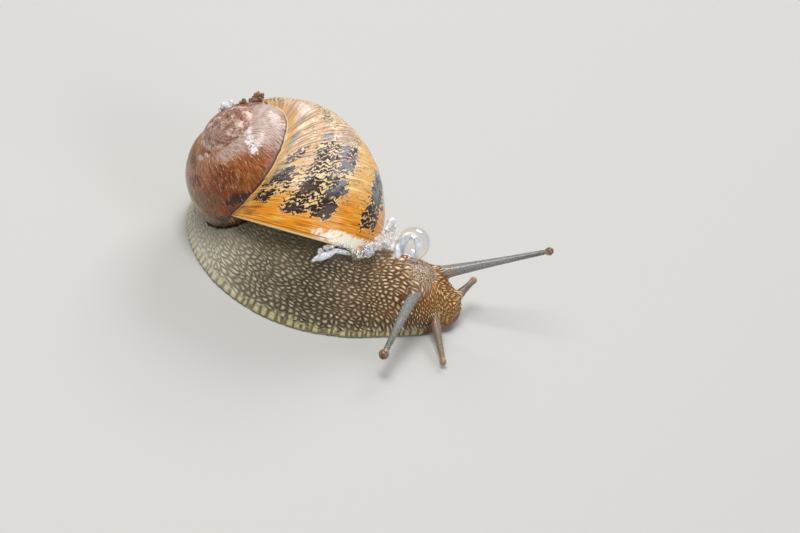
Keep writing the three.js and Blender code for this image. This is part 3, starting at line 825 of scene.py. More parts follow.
def skin_distance(p):
    """Distance outside the skin before the warts are raised, mm."""
    flesh = body_distance(p)
    flesh = soft_min(flesh, head_distance(p), HEAD_BLEND)
    near = np.linalg.norm(p - lip_dense[len(lip_dense) // 2, :3], axis=1) < LIP_REACH
    flesh[near] = soft_min(flesh[near], lip_distance(p[near]), LIP_BLEND)
    for key, (root, tip, radii, knob, fillet) in FEELERS.items():
        length = np.linalg.norm(tip - root)
        near = np.linalg.norm(p - (root + tip) / 2, axis=1) < length / 2 + FEELER_REACH
        upper = key.startswith("upper")
        stalk = feeler_distance(p[near], root, tip, radii, knob, not upper) - STEM_BARE
        joined = soft_min(flesh[near], stalk, fillet)
        if upper:
            ahead = (p[near] - tip) @ (tip - root) / length
            joined = np.maximum(joined, ahead + EYE_NECK * knob - COAT_DEPTH)
        flesh[near] = joined
    solid, last, plane = shell_distance(to_shell(p))
    collar = soft_max(last + COLLAR_WALL, plane + COLLAR_IN, COLLAR_BLEND)
    collar = soft_max(collar, -plane - COLLAR_DEPTH, 0.5)
    flesh = soft_min(flesh, collar, COLLAR_BLEND)
    return np.maximum(soft_max(flesh + COAT_DEPTH, -p[:, 2], SOLE_BLEND), SHELL_CLEAR - solid)


COARSE = 4               # fine steps in a coarse step of the grid
NEAR_SURFACE = 1.25      # a coarse cell with a corner this near the surface is worked out, mm
CORNERS = [(i, j, k) for i in (0, 1) for j in (0, 1) for k in (0, 1)]    # of a cell, in steps


def spaced(*stretches):
    """Grid lines whose spacing changes from one stretch to the next."""
    lines = [stretches[0][0]]
    for low, high, step in stretches:
        lines += list(np.linspace(low, high, int(round((high - low) / step)) + 1)[1:])
    while (len(lines) - 1) % COARSE:
        lines.append(lines[-1] + step)
    return np.array(lines)


def at_corner(grid, corner):
    """The values of a grid at one corner of every cell."""
    return grid[tuple(slice(step, step + size - 1) for step, size in zip(corner, grid.shape))]


def enlarge(grid):
    """Each value of a coarse grid repeated on the fine one."""
    for axis in range(3):
        grid = np.repeat(grid, COARSE, axis)
    return grid


def in_chunks(field, p, size=200000):
    return np.concatenate([field(p[i:i + size]) for i in range(0, len(p), size)])


def wrap_surface(field, xs, ys, zs):
    """Quads over the zero level of a field on a box grid, worked out only near the surface."""
    def grid_places(at):
        return np.stack([xs[at[0]], ys[at[1]], zs[at[2]]], -1)

    coarse = np.stack(np.meshgrid(xs[::COARSE], ys[::COARSE], zs[::COARSE], indexing="ij"), -1)
    rough = in_chunks(field, coarse.reshape(-1, 3)).reshape(coarse.shape[:3])
    lowest = np.min([np.abs(at_corner(rough, corner)) for corner in CORNERS], axis=0)
    cells = enlarge(lowest < NEAR_SURFACE)
    values = enlarge(rough)[:len(xs), :len(ys), :len(zs)].astype(np.float32)
    wanted = np.zeros(values.shape, bool)
    for corner in CORNERS:
        at_corner(wanted, corner)[:] |= cells
    wanted = np.nonzero(wanted)
    values[wanted] = in_chunks(field, grid_places(wanted))
    inside = values < 0
    count = sum(at_corner(inside, corner).astype(np.int8) for corner in CORNERS)
    crossed = np.array(np.nonzero((count > 0) & (count < len(CORNERS)) & cells))
    number = np.full(count.shape, -1, np.int32)
    number[tuple(crossed)] = np.arange(crossed.shape[1])
    total = np.zeros((crossed.shape[1], 3))
    hits = np.zeros(crossed.shape[1])
    quads = []
    for axis, step in enumerate(np.eye(3, dtype=int)):
        # where the surface crosses the four edges of each cell that run along this axis
        for corner in CORNERS:
            if corner[axis]:
                continue
            at = crossed + np.array(corner)[:, None]
            to = at + step[:, None]
            v0, v1 = (values[tuple(end)].astype(float) for end in (at, to))
            cross = (v0 < 0) != (v1 < 0)
            f = np.where(cross, v0 / np.where(cross, v0 - v1, 1), 0)
            a, b = grid_places(at), grid_places(to)
            total += np.where(cross[:, None], a + (b - a) * f[:, None], 0)
            hits += cross
        # one quad over every crossed edge, through the four cells about it
        first = inside[tuple(slice(0, size - s) for size, s in zip(values.shape, step))]
        second = inside[tuple(slice(s, None) for s in step)]
        at = np.array(np.nonzero(first != second))
        others = [a for a in range(3) if a != axis]
        corners = []
        for away in ((0, 0), (-1, 0), (-1, -1), (0, -1)):
            cell = at.copy()
            cell[others] += np.array(away)[:, None]
            ok = ((cell >= 0) & (cell < np.array(number.shape)[:, None])).all(0)
            corners.append(np.where(ok, number[tuple(np.where(ok, cell, 0))], -1))
        quad = np.stack(corners, -1)
        flip = first[tuple(at)] == (axis == 1)
        quad = np.where(flip[:, None], quad[:, ::-1], quad)
        quads.append(quad[(quad >= 0).all(1)])
    return total / hits[:, None], np.concatenate(quads)


def slope_of(field, p, h=0.02):
    steps = np.eye(3) * h
    return np.stack([in_chunks(field, p + d) - in_chunks(field, p - d) for d in steps], -1) / (2 * h)


skin_points, skin_quads = wrap_surface(
    skin_distance,
    spaced((-28.0, -16.0, 0.28), (-16.0, 5.0, 0.21), (5.0, 9.5, 0.17), (9.5, 20.0, 0.13),
           (20.0, 30.5, 0.15)),
    spaced((-22.0, -13.0, 0.18), (-13.0, 8.0, 0.17), (8.0, 21.8, 0.32)),
    spaced((-0.35, 7.5, 0.155), (7.5, 15.5, 0.20), (15.5, 18.5, 0.4)))
for _ in range(2):
    slope = slope_of(skin_distance, skin_points)
    size = np.maximum((slope ** 2).sum(1), 0.2)
    move = -(in_chunks(skin_distance, skin_points) / size)[:, None] * slope
    skin_points = skin_points + np.clip(move, -0.08, 0.08)

# the parts that nothing shows, the sole and what lies against the shell, get fewer faces
HIDDEN_KEEP = 0.62       # of all the faces, this part is kept
skin = make_piece("skin", skin_points, skin_quads.tolist(), {})
hidden = (skin_points[:, 2] < 0.01) & (slope_of(skin_distance, skin_points)[:, 2] < -0.9)
hidden |= shell_distance(to_shell(skin_points))[0] < SHELL_CLEAR + 0.03
group = skin.vertex_groups.new(name="hidden")
group.add(np.nonzero(hidden)[0].tolist(), 1.0, "REPLACE")
thin = skin.modifiers.new("thin", "DECIMATE")
thin.ratio = HIDDEN_KEEP
thin.vertex_group = "hidden"
thin.vertex_group_factor = 1000.0
reduced = bpy.data.meshes.new_from_object(skin.evaluated_get(bpy.context.evaluated_depsgraph_get()))
skin.modifiers.clear()
skin.vertex_groups.clear()
skin.data = reduced
bare = point_places(reduced).astype(float) / MM


def smooth(x, low, high):
    f = np.clip((x - low) / (high - low), 0, 1)
    return f * f * (3 - 2 * f)


WART_SIZES = np.array([  # distance from the tail, length, width, height, slope of the rows
    [0.0, 1.50, 1.25, 0.06, 0.00],
    [15.0, 1.25, 1.02, 0.06, 0.03],
    [22.0, 0.90, 0.74, 0.08, 0.06],
    [34.0, 0.82, 0.64, 0.12, 0.10],
    [46.0, 0.92, 0.62, 0.18, 0.20],
    [54.0, 0.80, 0.53, 0.17, 0.40],
    [60.0, 0.70, 0.46, 0.14, 0.50],
    [70.0, 0.62, 0.42, 0.12, 0.50],
])
ROW_PIVOT = 50.0                         # the fall of the rows counts from here
LOW_WARTS, LOW_STRETCH = 3.2, 0.66       # below this height the warts stand taller
HEM_TOP = ([20.0, 45.0], [2.4, 1.6])     # distance from the tail, height of the hem
HEM_PITCH, HEM_TALL, HEM_RISE = 0.80, 3.6, 0.10         # spacing, length and height of its bars
HEM_RAGGED, FOLD_DEPTH = 0.7, 0.16       # how ragged its top is, and folds across the tail, mm
NAPE, MOUTH = OFFSET + (6.3, 10.6, 5.5), OFFSET + (16.0, 12.6, 1.4)     # the head's rows run to the mouth
MOUTH_RUN, HEAD_ARC, HEAD_BASE = 64.0, 4.4, 5.4          # they join the neck's rows by these
HEAD_ROWS, HEAD_PAINT = (46.0, 57.0), (52.0, 59.0)       # where they and the head's colours take over
SHELL_CALM = (0.5, 3.2)                  # the warts rise between these distances from the shell
# middles and reaches: finely grained skin over the roots of the upper feelers, and painted shade
# under the roots of the feelers, warm where the flesh shows through
PALE_SPOTS = (OFFSET + (8.2, 9.6, 9.2), 3.3), (OFFSET + (9.4, 12.3, 8.2), 2.5)
ROOT_SHADE_SPOTS = ((OFFSET + (10.3, 8.6, 5.6), 3.0), (OFFSET + (12.2, 13.6, 5.4), 1.8),
              (OFFSET + (13.6, 9.0, 2.2), 1.3))

run_long = np.arange(0, 70.0, PATH_STEP)
wart_count = np.cumsum(PATH_STEP / np.interp(run_long, WART_SIZES[:, 0], WART_SIZES[:, 1]))
row_fall = np.cumsum(PATH_STEP * np.interp(run_long, WART_SIZES[:, 0], WART_SIZES[:, 4]))
row_fall -= np.interp(ROW_PIVOT, run_long, row_fall)
head_axis = (MOUTH - NAPE) / np.linalg.norm(MOUTH - NAPE)
head_across = np.cross([0, 0, 1.0], head_axis)
head_across /= np.linalg.norm(head_across)
head_up = np.cross(head_axis, head_across)


def dress(p):
    """Depth of the folds, and what the relief and the colours need; wart_place counts in warts."""
    s, left, past, widths = along_body(p)
    run = s + np.where(s > path_s[-1] / 2, past, -past)
    z = p[:, 2]
    low = np.minimum(z - LOW_WARTS, 0) * LOW_STRETCH + np.maximum(z, LOW_WARTS)
    climb = low + 0.8 * (widths[:, 1] - np.sqrt(left * left + 0.2))
    away = p - MOUTH
    bend = np.abs(np.arctan2(away @ head_across, away @ head_up + 0.8))
    head_climb = HEAD_BASE + (math.pi / 2 - bend) * HEAD_ARC
    head_run = MOUTH_RUN - np.linalg.norm(away, axis=1)
    is_head = smooth(run, *HEAD_ROWS)
    pattern_run = run + (head_run - run) * is_head
    climb = climb + (head_climb - climb) * is_head
    wide = np.interp(pattern_run, WART_SIZES[:, 0], WART_SIZES[:, 2])
    sway = 0.22 * np.sin(p[:, 1] * 1.1 + 2.0 * np.sin(z * 0.7)), 0.25 * np.sin(p[:, 0] * 0.9 + z * 1.3)
    place = np.stack([np.interp(pattern_run, run_long, wart_count) + sway[0],
                      (climb + np.interp(pattern_run, run_long, row_fall)) / wide + sway[1],
                      np.zeros(len(p))], -1)

    at_head = head_distance(p)
    flesh = soft_min(body_distance(p), at_head, HEAD_BLEND)
    stem = stem_run = stem_low = np.zeros(len(p))
    for key, (root, tip, radii, knob, fillet) in FEELERS.items():
        axis = tip - root
        t = (p - root) @ axis / (axis @ axis)
        off = feeler_distance(p, root, tip, radii, knob, not key.startswith("upper"))
        here = smooth(off - flesh, -0.1, -2.0) * smooth(off, 0.8, 0.3)
        stem_run = np.where(here > stem, t, stem_run)
        stem_low = np.where(here > stem, key.startswith("lower"), stem_low)
        stem = np.maximum(stem, here)
    head = smooth(run, *HEAD_PAINT) * smooth(at_head, 1.2, 0.2)
    lips = smooth(lip_distance(p) - at_head, 0.32, 0.08)
    hem_top = np.interp(run, *HEM_TOP) + HEM_RAGGED * value_noise(run / HEM_PITCH, 41)
    hem = smooth(z, hem_top, 0.3 * hem_top) * smooth(z, 0.0, 0.25) * smooth(at_head, 0.0, 0.6)
    clear = shell_distance(to_shell(p))[0]
    warm_root_shade, pale = (np.max([smooth(np.linalg.norm(p - spot, axis=1), reach, core * reach)
                          for spot, reach in spots], axis=0)
                  for spots, core in ((ROOT_SHADE_SPOTS, 0.2), (PALE_SPOTS, 0.35)))
    calm = smooth(clear, *SHELL_CALM) * (1 - stem) * (1 - lips) * smooth(z, 0.02, 0.3) * (1 - 0.8 * pale)
    relief = np.interp(run, WART_SIZES[:, 0], WART_SIZES[:, 3]) * calm * (1 - hem)
    folds = np.sin(run * 2.1 + 1.6 * np.sin(z * 0.9 + p[:, 0] * 0.3)) * np.sin(z * 0.8 + run * 0.35)
    folds = FOLD_DEPTH * folds * smooth(run, 30.0, 16.0) * smooth(z, 0.3, 2.0)
    return folds, {"wart_place": place, "relief": relief, "hem_relief": HEM_RISE * hem * calm, "run": run,
                   "tall": z, "clear": clear, "head": head, "hem": hem, "lips": lips, "stem": stem,
                   "stem_run": stem_run, "stem_low": stem_low, "warm_root_shade": warm_root_shade, "pale": pale}


folds, marks = dress(bare)
slope = slope_of(skin_distance, bare)
slope /= np.maximum(np.linalg.norm(slope, axis=1, keepdims=True), 1e-6)
bare += slope * folds[:, None]
reduced.vertices.foreach_set("co", (bare * MM).astype(np.float32).ravel())
for key, values in marks.items():
    store(reduced, key, values)
reduced.polygons.foreach_set("use_smooth", [True] * len(reduced.polygons))
reduced.update()


class Bench(Flow):
    """Writes a Geometry Nodes tree with the same arithmetic."""

    def __init__(self, name, inputs):
        super().__init__(bpy.data.node_groups.new(name, "GeometryNodeTree"))
        socket = self.tree.interface.new_socket
        socket("Geometry", in_out="OUTPUT", socket_type="NodeSocketGeometry")
        self.keys = {key: socket(key, in_out="INPUT", socket_type="NodeSocket" + kind).identifier
                     for key, kind in {"Geometry": "Geometry", **inputs}.items()}
        self.start = self.tree.nodes.new("NodeGroupInput")

    def given(self, name):
        """An input of the tree."""
        return Flow(self.tree, self.start.outputs[name])

    def stored(self, name, kind="FLOAT"):
        """A value stored on the mesh."""
        return self.node("GeometryNodeInputNamedAttribute", {"data_type": kind}, {"Name": name})

    def run_on(self, piece, geometry, values):
        """Ends the tree in Realize Instances and Set Material, runs it, and keeps the plain mesh."""
        real = self.node("GeometryNodeRealizeInstances", None, {0: geometry})
        done = self.node("GeometryNodeSetMaterial", None, {0: real, "Material": self.given("Material")})
        self.tree.links.new(done.socket, self.tree.nodes.new("NodeGroupOutput").inputs[0])
        modifier = piece.modifiers.new("bench", "NODES")
        modifier.node_group = self.tree
        for key, value in values.items():
            modifier[self.keys[key]] = value
        graph = bpy.context.evaluated_depsgraph_get()
        mesh = bpy.data.meshes.new_from_object(piece.evaluated_get(graph))
        piece.modifiers.clear()
        piece.data = mesh


WART_STRAY, BAR_STRAY = 0.80, 0.7        # how far warts and bars of the hem stray from even rows, 0 to 1
WART_EDGE, WART_TOP = 0.03, 0.36         # a wart rises between these distances from its cell's edge
BAR_EDGE, BAR_TOP = 0.02, 0.28

flow = Finish("skin_hide")
run, tall, clear, head, hem, lips, stem, stem_run, stem_low, warm_root_shade, pale = map(flow.value, (
    "run", "tall", "clear", "head", "hem", "lips", "stem", "stem_run", "stem_low", "warm_root_shade", "pale"))
wart_place = flow.value("wart_place").also("Vector")
edge = flow.cells(wart_place, WART_STRAY)
heart = flow.cells(wart_place, WART_STRAY, "F1")                     # distance from a wart's middle
tint = flow.node("ShaderNodeSeparateColor", None, {0: heart.also("Color")}, out=1)
where = flow.place()
mottle = flow.noise(where, 0.33, 3.0, 0.55)
fleck = flow.noise(where, 3.2, 2.0, 0.6)
grain = flow.beads(where, 5.0, 0.3).step(0.55, 0.25)
wart = edge.step(0.0, 0.30)
bead = edge.step(0.13, 0.38) * heart.step(0.62, 0.16)
front = run.step(38.0, 54.0)
rear = run.step(40.0, 25.0)
tail = run.step(34.0, 22.0)
low = tall.step(4.5, 2.0)
groove = front.mix("4a3d27", "67421f").under(
    (mottle.step(0.55, 0.35), front.mix("6a5a40", "876034")),
    (rear, "8b8166"),
    (head, "764311"))
skirt = front.mix("6b5a41", "aa8454").under(
    (rear, "a9a084"),
    (low * 0.6 * (1.0 - rear), "6a614b"),
    (head, "bd8030"))
crest = front.mix("c4b797", "ffe9c4").under(
    (low * 0.8, "dedbbe"),
    (rear, "d8d2bb"),
    (head, "ffe8a6"))
bar = flow.cells(flow.point(run / HEM_PITCH, tall / HEM_TALL), BAR_STRAY).step(BAR_EDGE, BAR_TOP)
hem_paint = bar.mix(rear.mix("6a5e3e", "8f866a"), rear.mix("b2aa7e", "c9c4a6")).under(
    (tall.step(0.55, 0.25), rear.mix("bcb374", "cdc9ad")),
    # the same painted light on the tail
    (tail * 0.55, "d6d2be"))
nap = flow.beads(where, 3.4, 0.2).step(0.58, 0.22)
grey = stem_low.mix(stem_run.step(0.55, 0.95).mix("787a78", "5a5954"), "7d6a58")
stalk = stem_run.step(0.02, 0.30).mix("94795a", grey).under(
    (stem_low * stem_run.step(0.86, 0.97), "9c7a5c"),
    (grain * (0.60 - stem_low * 0.24), "bcbbb5"))
hide = wart.mix(groove, skirt).under(
    (bead * (0.30 + tint * 0.70), crest),
    # painted light: the tail made paler where the light from behind falls on it
    (tail * (0.40 + wart * 0.35), "f1eede"),
    ((1.0 - wart) * mottle.step(0.5, 0.7) * (1.0 - rear) * 0.5, "33261a"),
    (hem * 0.9, hem_paint),
    (lips, fleck.step(0.3, 0.7).mix("4a2803", "865006")),
    (pale * 0.85, nap.mix("7a5b40", "e2d6c0")),
    (stem.step(0.15, 0.8), stalk),
    # painted shade under the feeler roots, warm where the flesh shows through
    (warm_root_shade * (1.0 - bead * 0.6) * (1.0 - pale) * 0.85, "a86018"),
    # painted shadow of the shell on the skin just below its lip, weaker on the neck and on the tail
    (clear.step(4.4, 1.0) * (0.85 - front * 0.75) * (1.0 - tail * 0.45), rear.mix("54452b", "655a3e")))
height = (wart * 0.7 + bead * 0.3) * (1.0 - rear * 0.5)
plain = stem.step(0.3, 0.9).both(lips)
height = (height * (1.0 - hem) + bar * hem) * (1.0 - plain) * (1.0 - pale * 0.8)
height = height + fleck * 0.12 + grain * stem * 0.35 + nap * pale * 0.6
flow.feed(Base_Color=hide, Roughness=0.32 + fleck * 0.14,
          Normal=flow.bump(height, 0.9, 0.0003), Coat_Weight=0.35, Coat_Roughness=0.10,
          Subsurface_Weight=0.10, Subsurface_Scale=0.0008)

bench = Bench("raise_warts", {"Wart height": "Float", "Hem height": "Float", "Material": "Material"})
dome = bench.cells(bench.stored("wart_place", "FLOAT_VECTOR"), WART_STRAY).step(WART_EDGE, WART_TOP)
lift = dome * bench.stored("relief") * bench.given("Wart height")
bar_at = bench.point(bench.stored("run") / HEM_PITCH, bench.stored("tall") / HEM_TALL)
bar_dome = bench.cells(bar_at, BAR_STRAY).step(BAR_EDGE, BAR_TOP)
bar_lift = bar_dome * bench.stored("hem_relief") * bench.given("Hem height")
offset = bench.node("GeometryNodeInputNormal").scaled(lift + bar_lift)
raised = bench.node("GeometryNodeSetPosition", None, {0: bench.given("Geometry"), "Offset": offset})
bench.run_on(skin, raised, {"Wart height": MM, "Hem height": MM, "Material": flow.material})
lift_faces(skin)
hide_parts("mantle_collar", "tail", "foot", "trunk", "neck", "head", "lips",
            "upper_feeler_right", "upper_feeler_left", "lower_feeler_right", "lower_feeler_left")
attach(skin, "root")

# ---------------------------------------------------------------------------
# Eyes: a wet round knob of the same flesh ends each upper feeler, with the
# dark eye showing through its clear front. The stalk runs into it without a step.
# ---------------------------------------------------------------------------
EYE_OUTLINE = np.array([   # along the stalk and out from it, in eye radii
    [-EYE_NECK + 0.02, 0.60], [-1.02, 0.61], [-0.88, 0.67], [-0.72, 0.77], [-0.52, 0.88],
    [-0.28, 0.97], [0.0, 1.0], [0.26, 0.965], [0.50, 0.865], [0.68, 0.73], [0.80, 0.61],
    [0.88, 0.52], [0.945, 0.42], [1.0, 0.29], [1.035, 0.15],
])
EYE_FRONT = 1.05           # the knob's foremost point, in eye radii
EYE_RINGS, EYE_AROUND = 44, 40

flow = Finish("eye_wet")
ahead = flow.value("ahead")            # along the stalk, in eye radii, 0 at the middle of the knob
aside = flow.value("aside")            # out from the middle of the front
spot = flow.place()
fine_grain = flow.noise(spot, 9.0, 3.0, 0.6)
clouds = flow.noise(spot, 2.2, 2.0, 0.5)
knob_paint = clouds.step(0.35, 0.65).mix("6c523d", "987b5f").under(
    (fine_grain.step(0.52, 0.66) * 0.6, "cfae88"),
    (ahead.step(-0.40, 0.05) * ahead.step(0.65, 0.30) * 0.45, "4a3325"),     # the eye, dim in the flesh
    (ahead.step(-0.55, -1.05), "8d8a84"),
    (ahead.step(0.35, 0.85) * 0.75, "5d3820"),
    (aside.step(0.36, 0.26), "120c0a"))
flow.feed(Base_Color=knob_paint, Roughness=0.20 + fine_grain * 0.15, Coat_Weight=0.6,
          Coat_Roughness=0.05, Normal=flow.bump(fine_grain, 0.35, 0.0001), Subsurface_Weight=0.15,
          Subsurface_Scale=0.0006)

for side_name in ("right", "left"):
    root, tip, _, knob, _ = FEELERS["upper_" + side_name]
    axis = (tip - root) / np.linalg.norm(tip - root)
    level = np.cross([0, 0, 1.0], axis)
    level /= np.linalg.norm(level)
    upward = np.cross(axis, level)
    outline = follow(EYE_OUTLINE, np.linspace(0, len(EYE_OUTLINE) - 1, EYE_RINGS))
    angle = np.linspace(0, 2 * math.pi, EYE_AROUND, endpoint=False)
    dimple = 1 + 0.012 * value_noise(outline[:, :1] * 6.0 + angle * 2.0, 21) * (outline[:, :1] < 0.6)
    ring_at = (outline[:, :1, None] * axis + (outline[:, 1:, None] * dimple[..., None])
               * (np.cos(angle)[None, :, None] * level + np.sin(angle)[None, :, None] * upward))
    ends = [tip + knob * axis * outline[0, 0], tip + knob * axis * EYE_FRONT]
    eye_points = np.concatenate([(tip + knob * ring_at).reshape(-1, 3), ends])
    aside = np.where(outline[:, 0] > 0, outline[:, 1], 2.0)
    eye = make_piece("eye_knob_" + side_name, eye_points, tube_faces(EYE_RINGS, EYE_AROUND), {
        "ahead": np.append(np.repeat(outline[:, 0], EYE_AROUND), [outline[0, 0], EYE_FRONT]),
        "aside": np.append(np.repeat(aside, EYE_AROUND), [2.0, 0.0]),
    })
    eye.data.materials.append(flow.material)
    lift_faces(eye)
    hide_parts("eye_" + side_name)
    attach(eye, "root")

# ---------------------------------------------------------------------------
# Slime: thick milky threads. One lies along the edge of the shell on the neck, its milky white a
# painted highlight on the wet slime; one arches inside the big bubble as its painted reflection,
# and one lies at the far end of the froth.
# ---------------------------------------------------------------------------
THREAD_LINES = (   # x, y, z and thickness along each thread
    [[-7.75, -0.85, 12.25, 0.16], [-7.2, -0.45, 12.8, 0.40], [-6.35, 0.15, 13.2, 0.52],
     [-5.7, 0.85, 13.5, 0.44], [-5.05, 1.45, 13.85, 0.36], [-4.2, 1.85, 13.85, 0.38],
     [-3.4, 2.35, 13.6, 0.32], [-2.8, 2.75, 13.3, 0.14]],
    # the painted reflection that arches inside the big bubble
    [[4.0, 10.0, 10.35, 0.46], [3.95, 10.7, 10.95, 0.66], [3.95, 11.4, 11.5, 0.72],
     [4.00, 12.1, 12.2, 0.66], [4.35, 12.7, 12.95, 0.60], [4.95, 13.05, 13.35, 0.48],
     [5.6, 12.85, 13.35, 0.36], [6.15, 12.2, 12.95, 0.27], [6.5, 11.6, 12.2, 0.23],
     [6.7, 11.2, 11.2, 0.24], [6.8, 11.1, 10.35, 0.32]],
    [[0.9, 12.6, 12.9, 0.20], [1.25, 13.6, 13.2, 0.45], [1.35, 14.5, 13.4, 0.62],
     [1.30, 15.1, 13.6, 0.40], [1.25, 15.4, 13.7, 0.16]],
)
THREAD_STEP, THREAD_AROUND = 0.12, 24
THREAD_WIDE, THREAD_FLAT, THREAD_SWELL = 1.15, 0.75, 0.10      # across it, through it, and its lumps


def joined_up(parts):
    """The points and the faces of one mesh, from the points and the faces of several."""
    firsts = np.cumsum([0] + [len(places) for places, _ in parts]).tolist()
    faces = [[first + n for n in face] for first, (_, part) in zip(firsts, parts) for face in part]
    return np.concatenate([places for places, _ in parts]), faces


threads, thread_runs = [], []
for thread in THREAD_LINES:
    thread = np.array(thread)
    line = follow(thread, np.linspace(0, len(thread) - 1, int(len(thread) / THREAD_STEP)))
    centre, thick = line[:, :3] + OFFSET, np.maximum(line[:, 3], 0.05)
    forward = np.gradient(centre, axis=0)
    forward /= np.linalg.norm(forward, axis=1, keepdims=True)
    level = np.cross(forward, [0.3, -0.7, 0.65])
    level /= np.linalg.norm(level, axis=1, keepdims=True)
    upward = np.cross(level, forward)
    angle = np.linspace(0, 2 * math.pi, THREAD_AROUND, endpoint=False)
    steps = np.arange(len(line))[:, None]
    swell = 1 + THREAD_SWELL * value_noise(steps * 0.22 + 5 * np.cos(angle), 31)
    ring_at = (centre[:, None] + (thick[:, None] * swell)[..., None]
               * (np.cos(angle)[None, :, None] * level[:, None] * THREAD_WIDE
                  + np.sin(angle)[None, :, None] * upward[:, None] * THREAD_FLAT))
    threads.append((np.concatenate([ring_at.reshape(-1, 3), centre[:1], centre[-1:]]),
                    tube_faces(len(line), THREAD_AROUND)))
    thread_runs += [np.repeat(np.arange(len(line)), THREAD_AROUND), [0, len(line)]]
slime_and_painted_light = make_piece("slime_and_painted_light", *joined_up(threads), {"thread_run": np.concatenate(thread_runs)})
flow = Finish("slime_milk")
strand = flow.noise(flow.point(flow.value("thread_run") * 0.05, 0.0), 1.0, 2.0, 0.5)
veil = flow.noise(flow.place(), 1.6, 3.0, 0.6)
# the white of the threads: the slime's own milkiness, with the painted highlight and the painted
# reflection
thread_white = veil.step(0.35, 0.65).mix("bcc2ca", "e0e4e8")
thread_white = (strand.step(0.55, 0.75) * 0.4).mix(thread_white, "f3f3f8")
flow.feed(Base_Color=thread_white, Roughness=0.16 + veil * 0.2, Coat_Weight=0.7, Coat_Roughness=0.05,
          Normal=flow.bump(veil, 0.25, 0.0002), Subsurface_Weight=0.25, Subsurface_Scale=0.0008,
          Subsurface_Radius=(1.0, 1.0, 1.0))
slime_and_painted_light.data.materials.append(flow.material)
lift_faces(slime_and_painted_light)
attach(slime_and_painted_light, "root")

# ---------------------------------------------------------------------------
# Froth: bubbles blown in the slime. Small ones crowd along the edge of the
# shell with five larger ones among them, and a very large one is on the neck.
# ---------------------------------------------------------------------------
FROTH_LINE = np.array([    # x, y, z, spread of the bubbles about the line and their size, mm
    [-7.4, -0.5, 13.6, 0.25, 0.20],
    [-6.3, 0.9, 14.4, 0.30, 0.28],
    [-4.9, 2.2, 14.8, 0.30, 0.32],
    [-3.4, 3.2, 14.4, 0.40, 0.34],
    [-2.2, 3.5, 13.2, 0.65, 0.40],
    [-1.2, 4.5, 13.0, 0.70, 0.42],
    [-0.2, 6.0, 13.2, 0.75, 0.40],
    [0.8, 7.8, 13.4, 0.85, 0.36],
    [1.5, 9.6, 13.0, 1.05, 0.36],
    [2.2, 11.0, 12.4, 1.20, 0.36],
    [2.0, 12.6, 12.7, 1.00, 0.32],
    [1.6, 14.2, 13.2, 0.60, 0.28],
])
FROTH_COUNT, FROTH_SEED = 340, 12
SMALLEST, LARGEST = 0.45, 1.15           # a small bubble is the square of these times its size above
LARGE_BUBBLES = (   # middle and radius
    ((-1.96, 3.25, 12.95), 1.12), ((-0.75, 4.35, 13.65), 0.86), ((-3.2, 2.55, 13.9), 0.55),
    ((0.15, 5.9, 12.5), 0.62), ((-4.6, 1.9, 14.35), 0.50), ((5.74, 12.76, 12.35), 2.55),
)
BUBBLE_RINGS = 36
WALL_GAP = 0.03          # a bubble stops this far off the skin and the shell, mm
BLOW_FROM, BLOW_LEAST = 0.25, 0.2        # it starts at this part of its radius, and keeps this one
BLOW_ROUNDS = 12


def ball_rows(rings):
    """Directions over a ball in rows from pole to pole, its two poles, and its faces."""
    fall = np.linspace(0, math.pi, rings + 2)[1:-1]
    angle = np.linspace(0, 2 * math.pi, 2 * rings, endpoint=False)
    fall, angle = np.meshgrid(fall, angle, indexing="ij")
    rows = np.stack([np.sin(fall) * np.cos(angle), np.sin(fall) * np.sin(angle), np.cos(fall)], -1)
    return np.concatenate([rows.reshape(-1, 3), [[0, 0, 1], [0, 0, -1]]]), tube_faces(rings, 2 * rings)


def room(p):
    """Distance to the nearest of skin and shell, mm."""
    return np.minimum(skin_distance(p), shell_distance(to_shell(p))[0])


def blow(centre, radius, rings):
    """Points and faces of a bubble that swells until it meets the skin or the shell."""
    ways, ball = ball_rows(rings)
    reach = np.full(len(ways), BLOW_FROM * radius)
    for _ in range(BLOW_ROUNDS):
        gap_left = in_chunks(room, centre + ways * reach[:, None]) - WALL_GAP
        reach = np.clip(reach + 0.8 * gap_left, BLOW_LEAST * radius, radius)
    return centre + ways * reach[:, None], ball


blown = [blow(OFFSET + middle, radius, BUBBLE_RINGS) for middle, radius in LARGE_BUBBLES]
bubbles = make_piece("bubbles", *joined_up(blown), {})
flow = Finish("bubble_film")
spot = flow.place()
swirl = flow.noise(spot, 0.5, 2.0, 0.5)
film = swirl.step(0.35, 0.65).mix("e9ecff", "fff8e0")
flow.feed(Base_Color=film, Roughness=0.02, Transmission_Weight=1.0, IOR=1.04,
          Coat_Weight=0.7 + swirl * 0.3, Coat_IOR=1.6, Coat_Roughness=0.02)
bubbles.data.materials.append(flow.material)
lift_faces(bubbles)
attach(bubbles, "root")

froth = make_piece("froth", FROTH_LINE[:, :3] + OFFSET, [], {
    "spread": FROTH_LINE[:, 3] * MM, "bubble": FROTH_LINE[:, 4] * MM},
    [(n, n + 1) for n in range(len(FROTH_LINE) - 1)])
flow = Finish("froth_film")
spot = flow.place()
specks = flow.noise(spot, 3.0, 3.0, 0.6)
foam = specks.step(0.40, 0.62).mix("dededa", "ffffff")
flow.feed(Base_Color=foam, Roughness=0.12, Alpha=0.10 + specks * 0.55, Coat_Weight=1.0,
          Coat_Roughness=0.03, Normal=flow.bump(specks, 0.2, 0.0001))

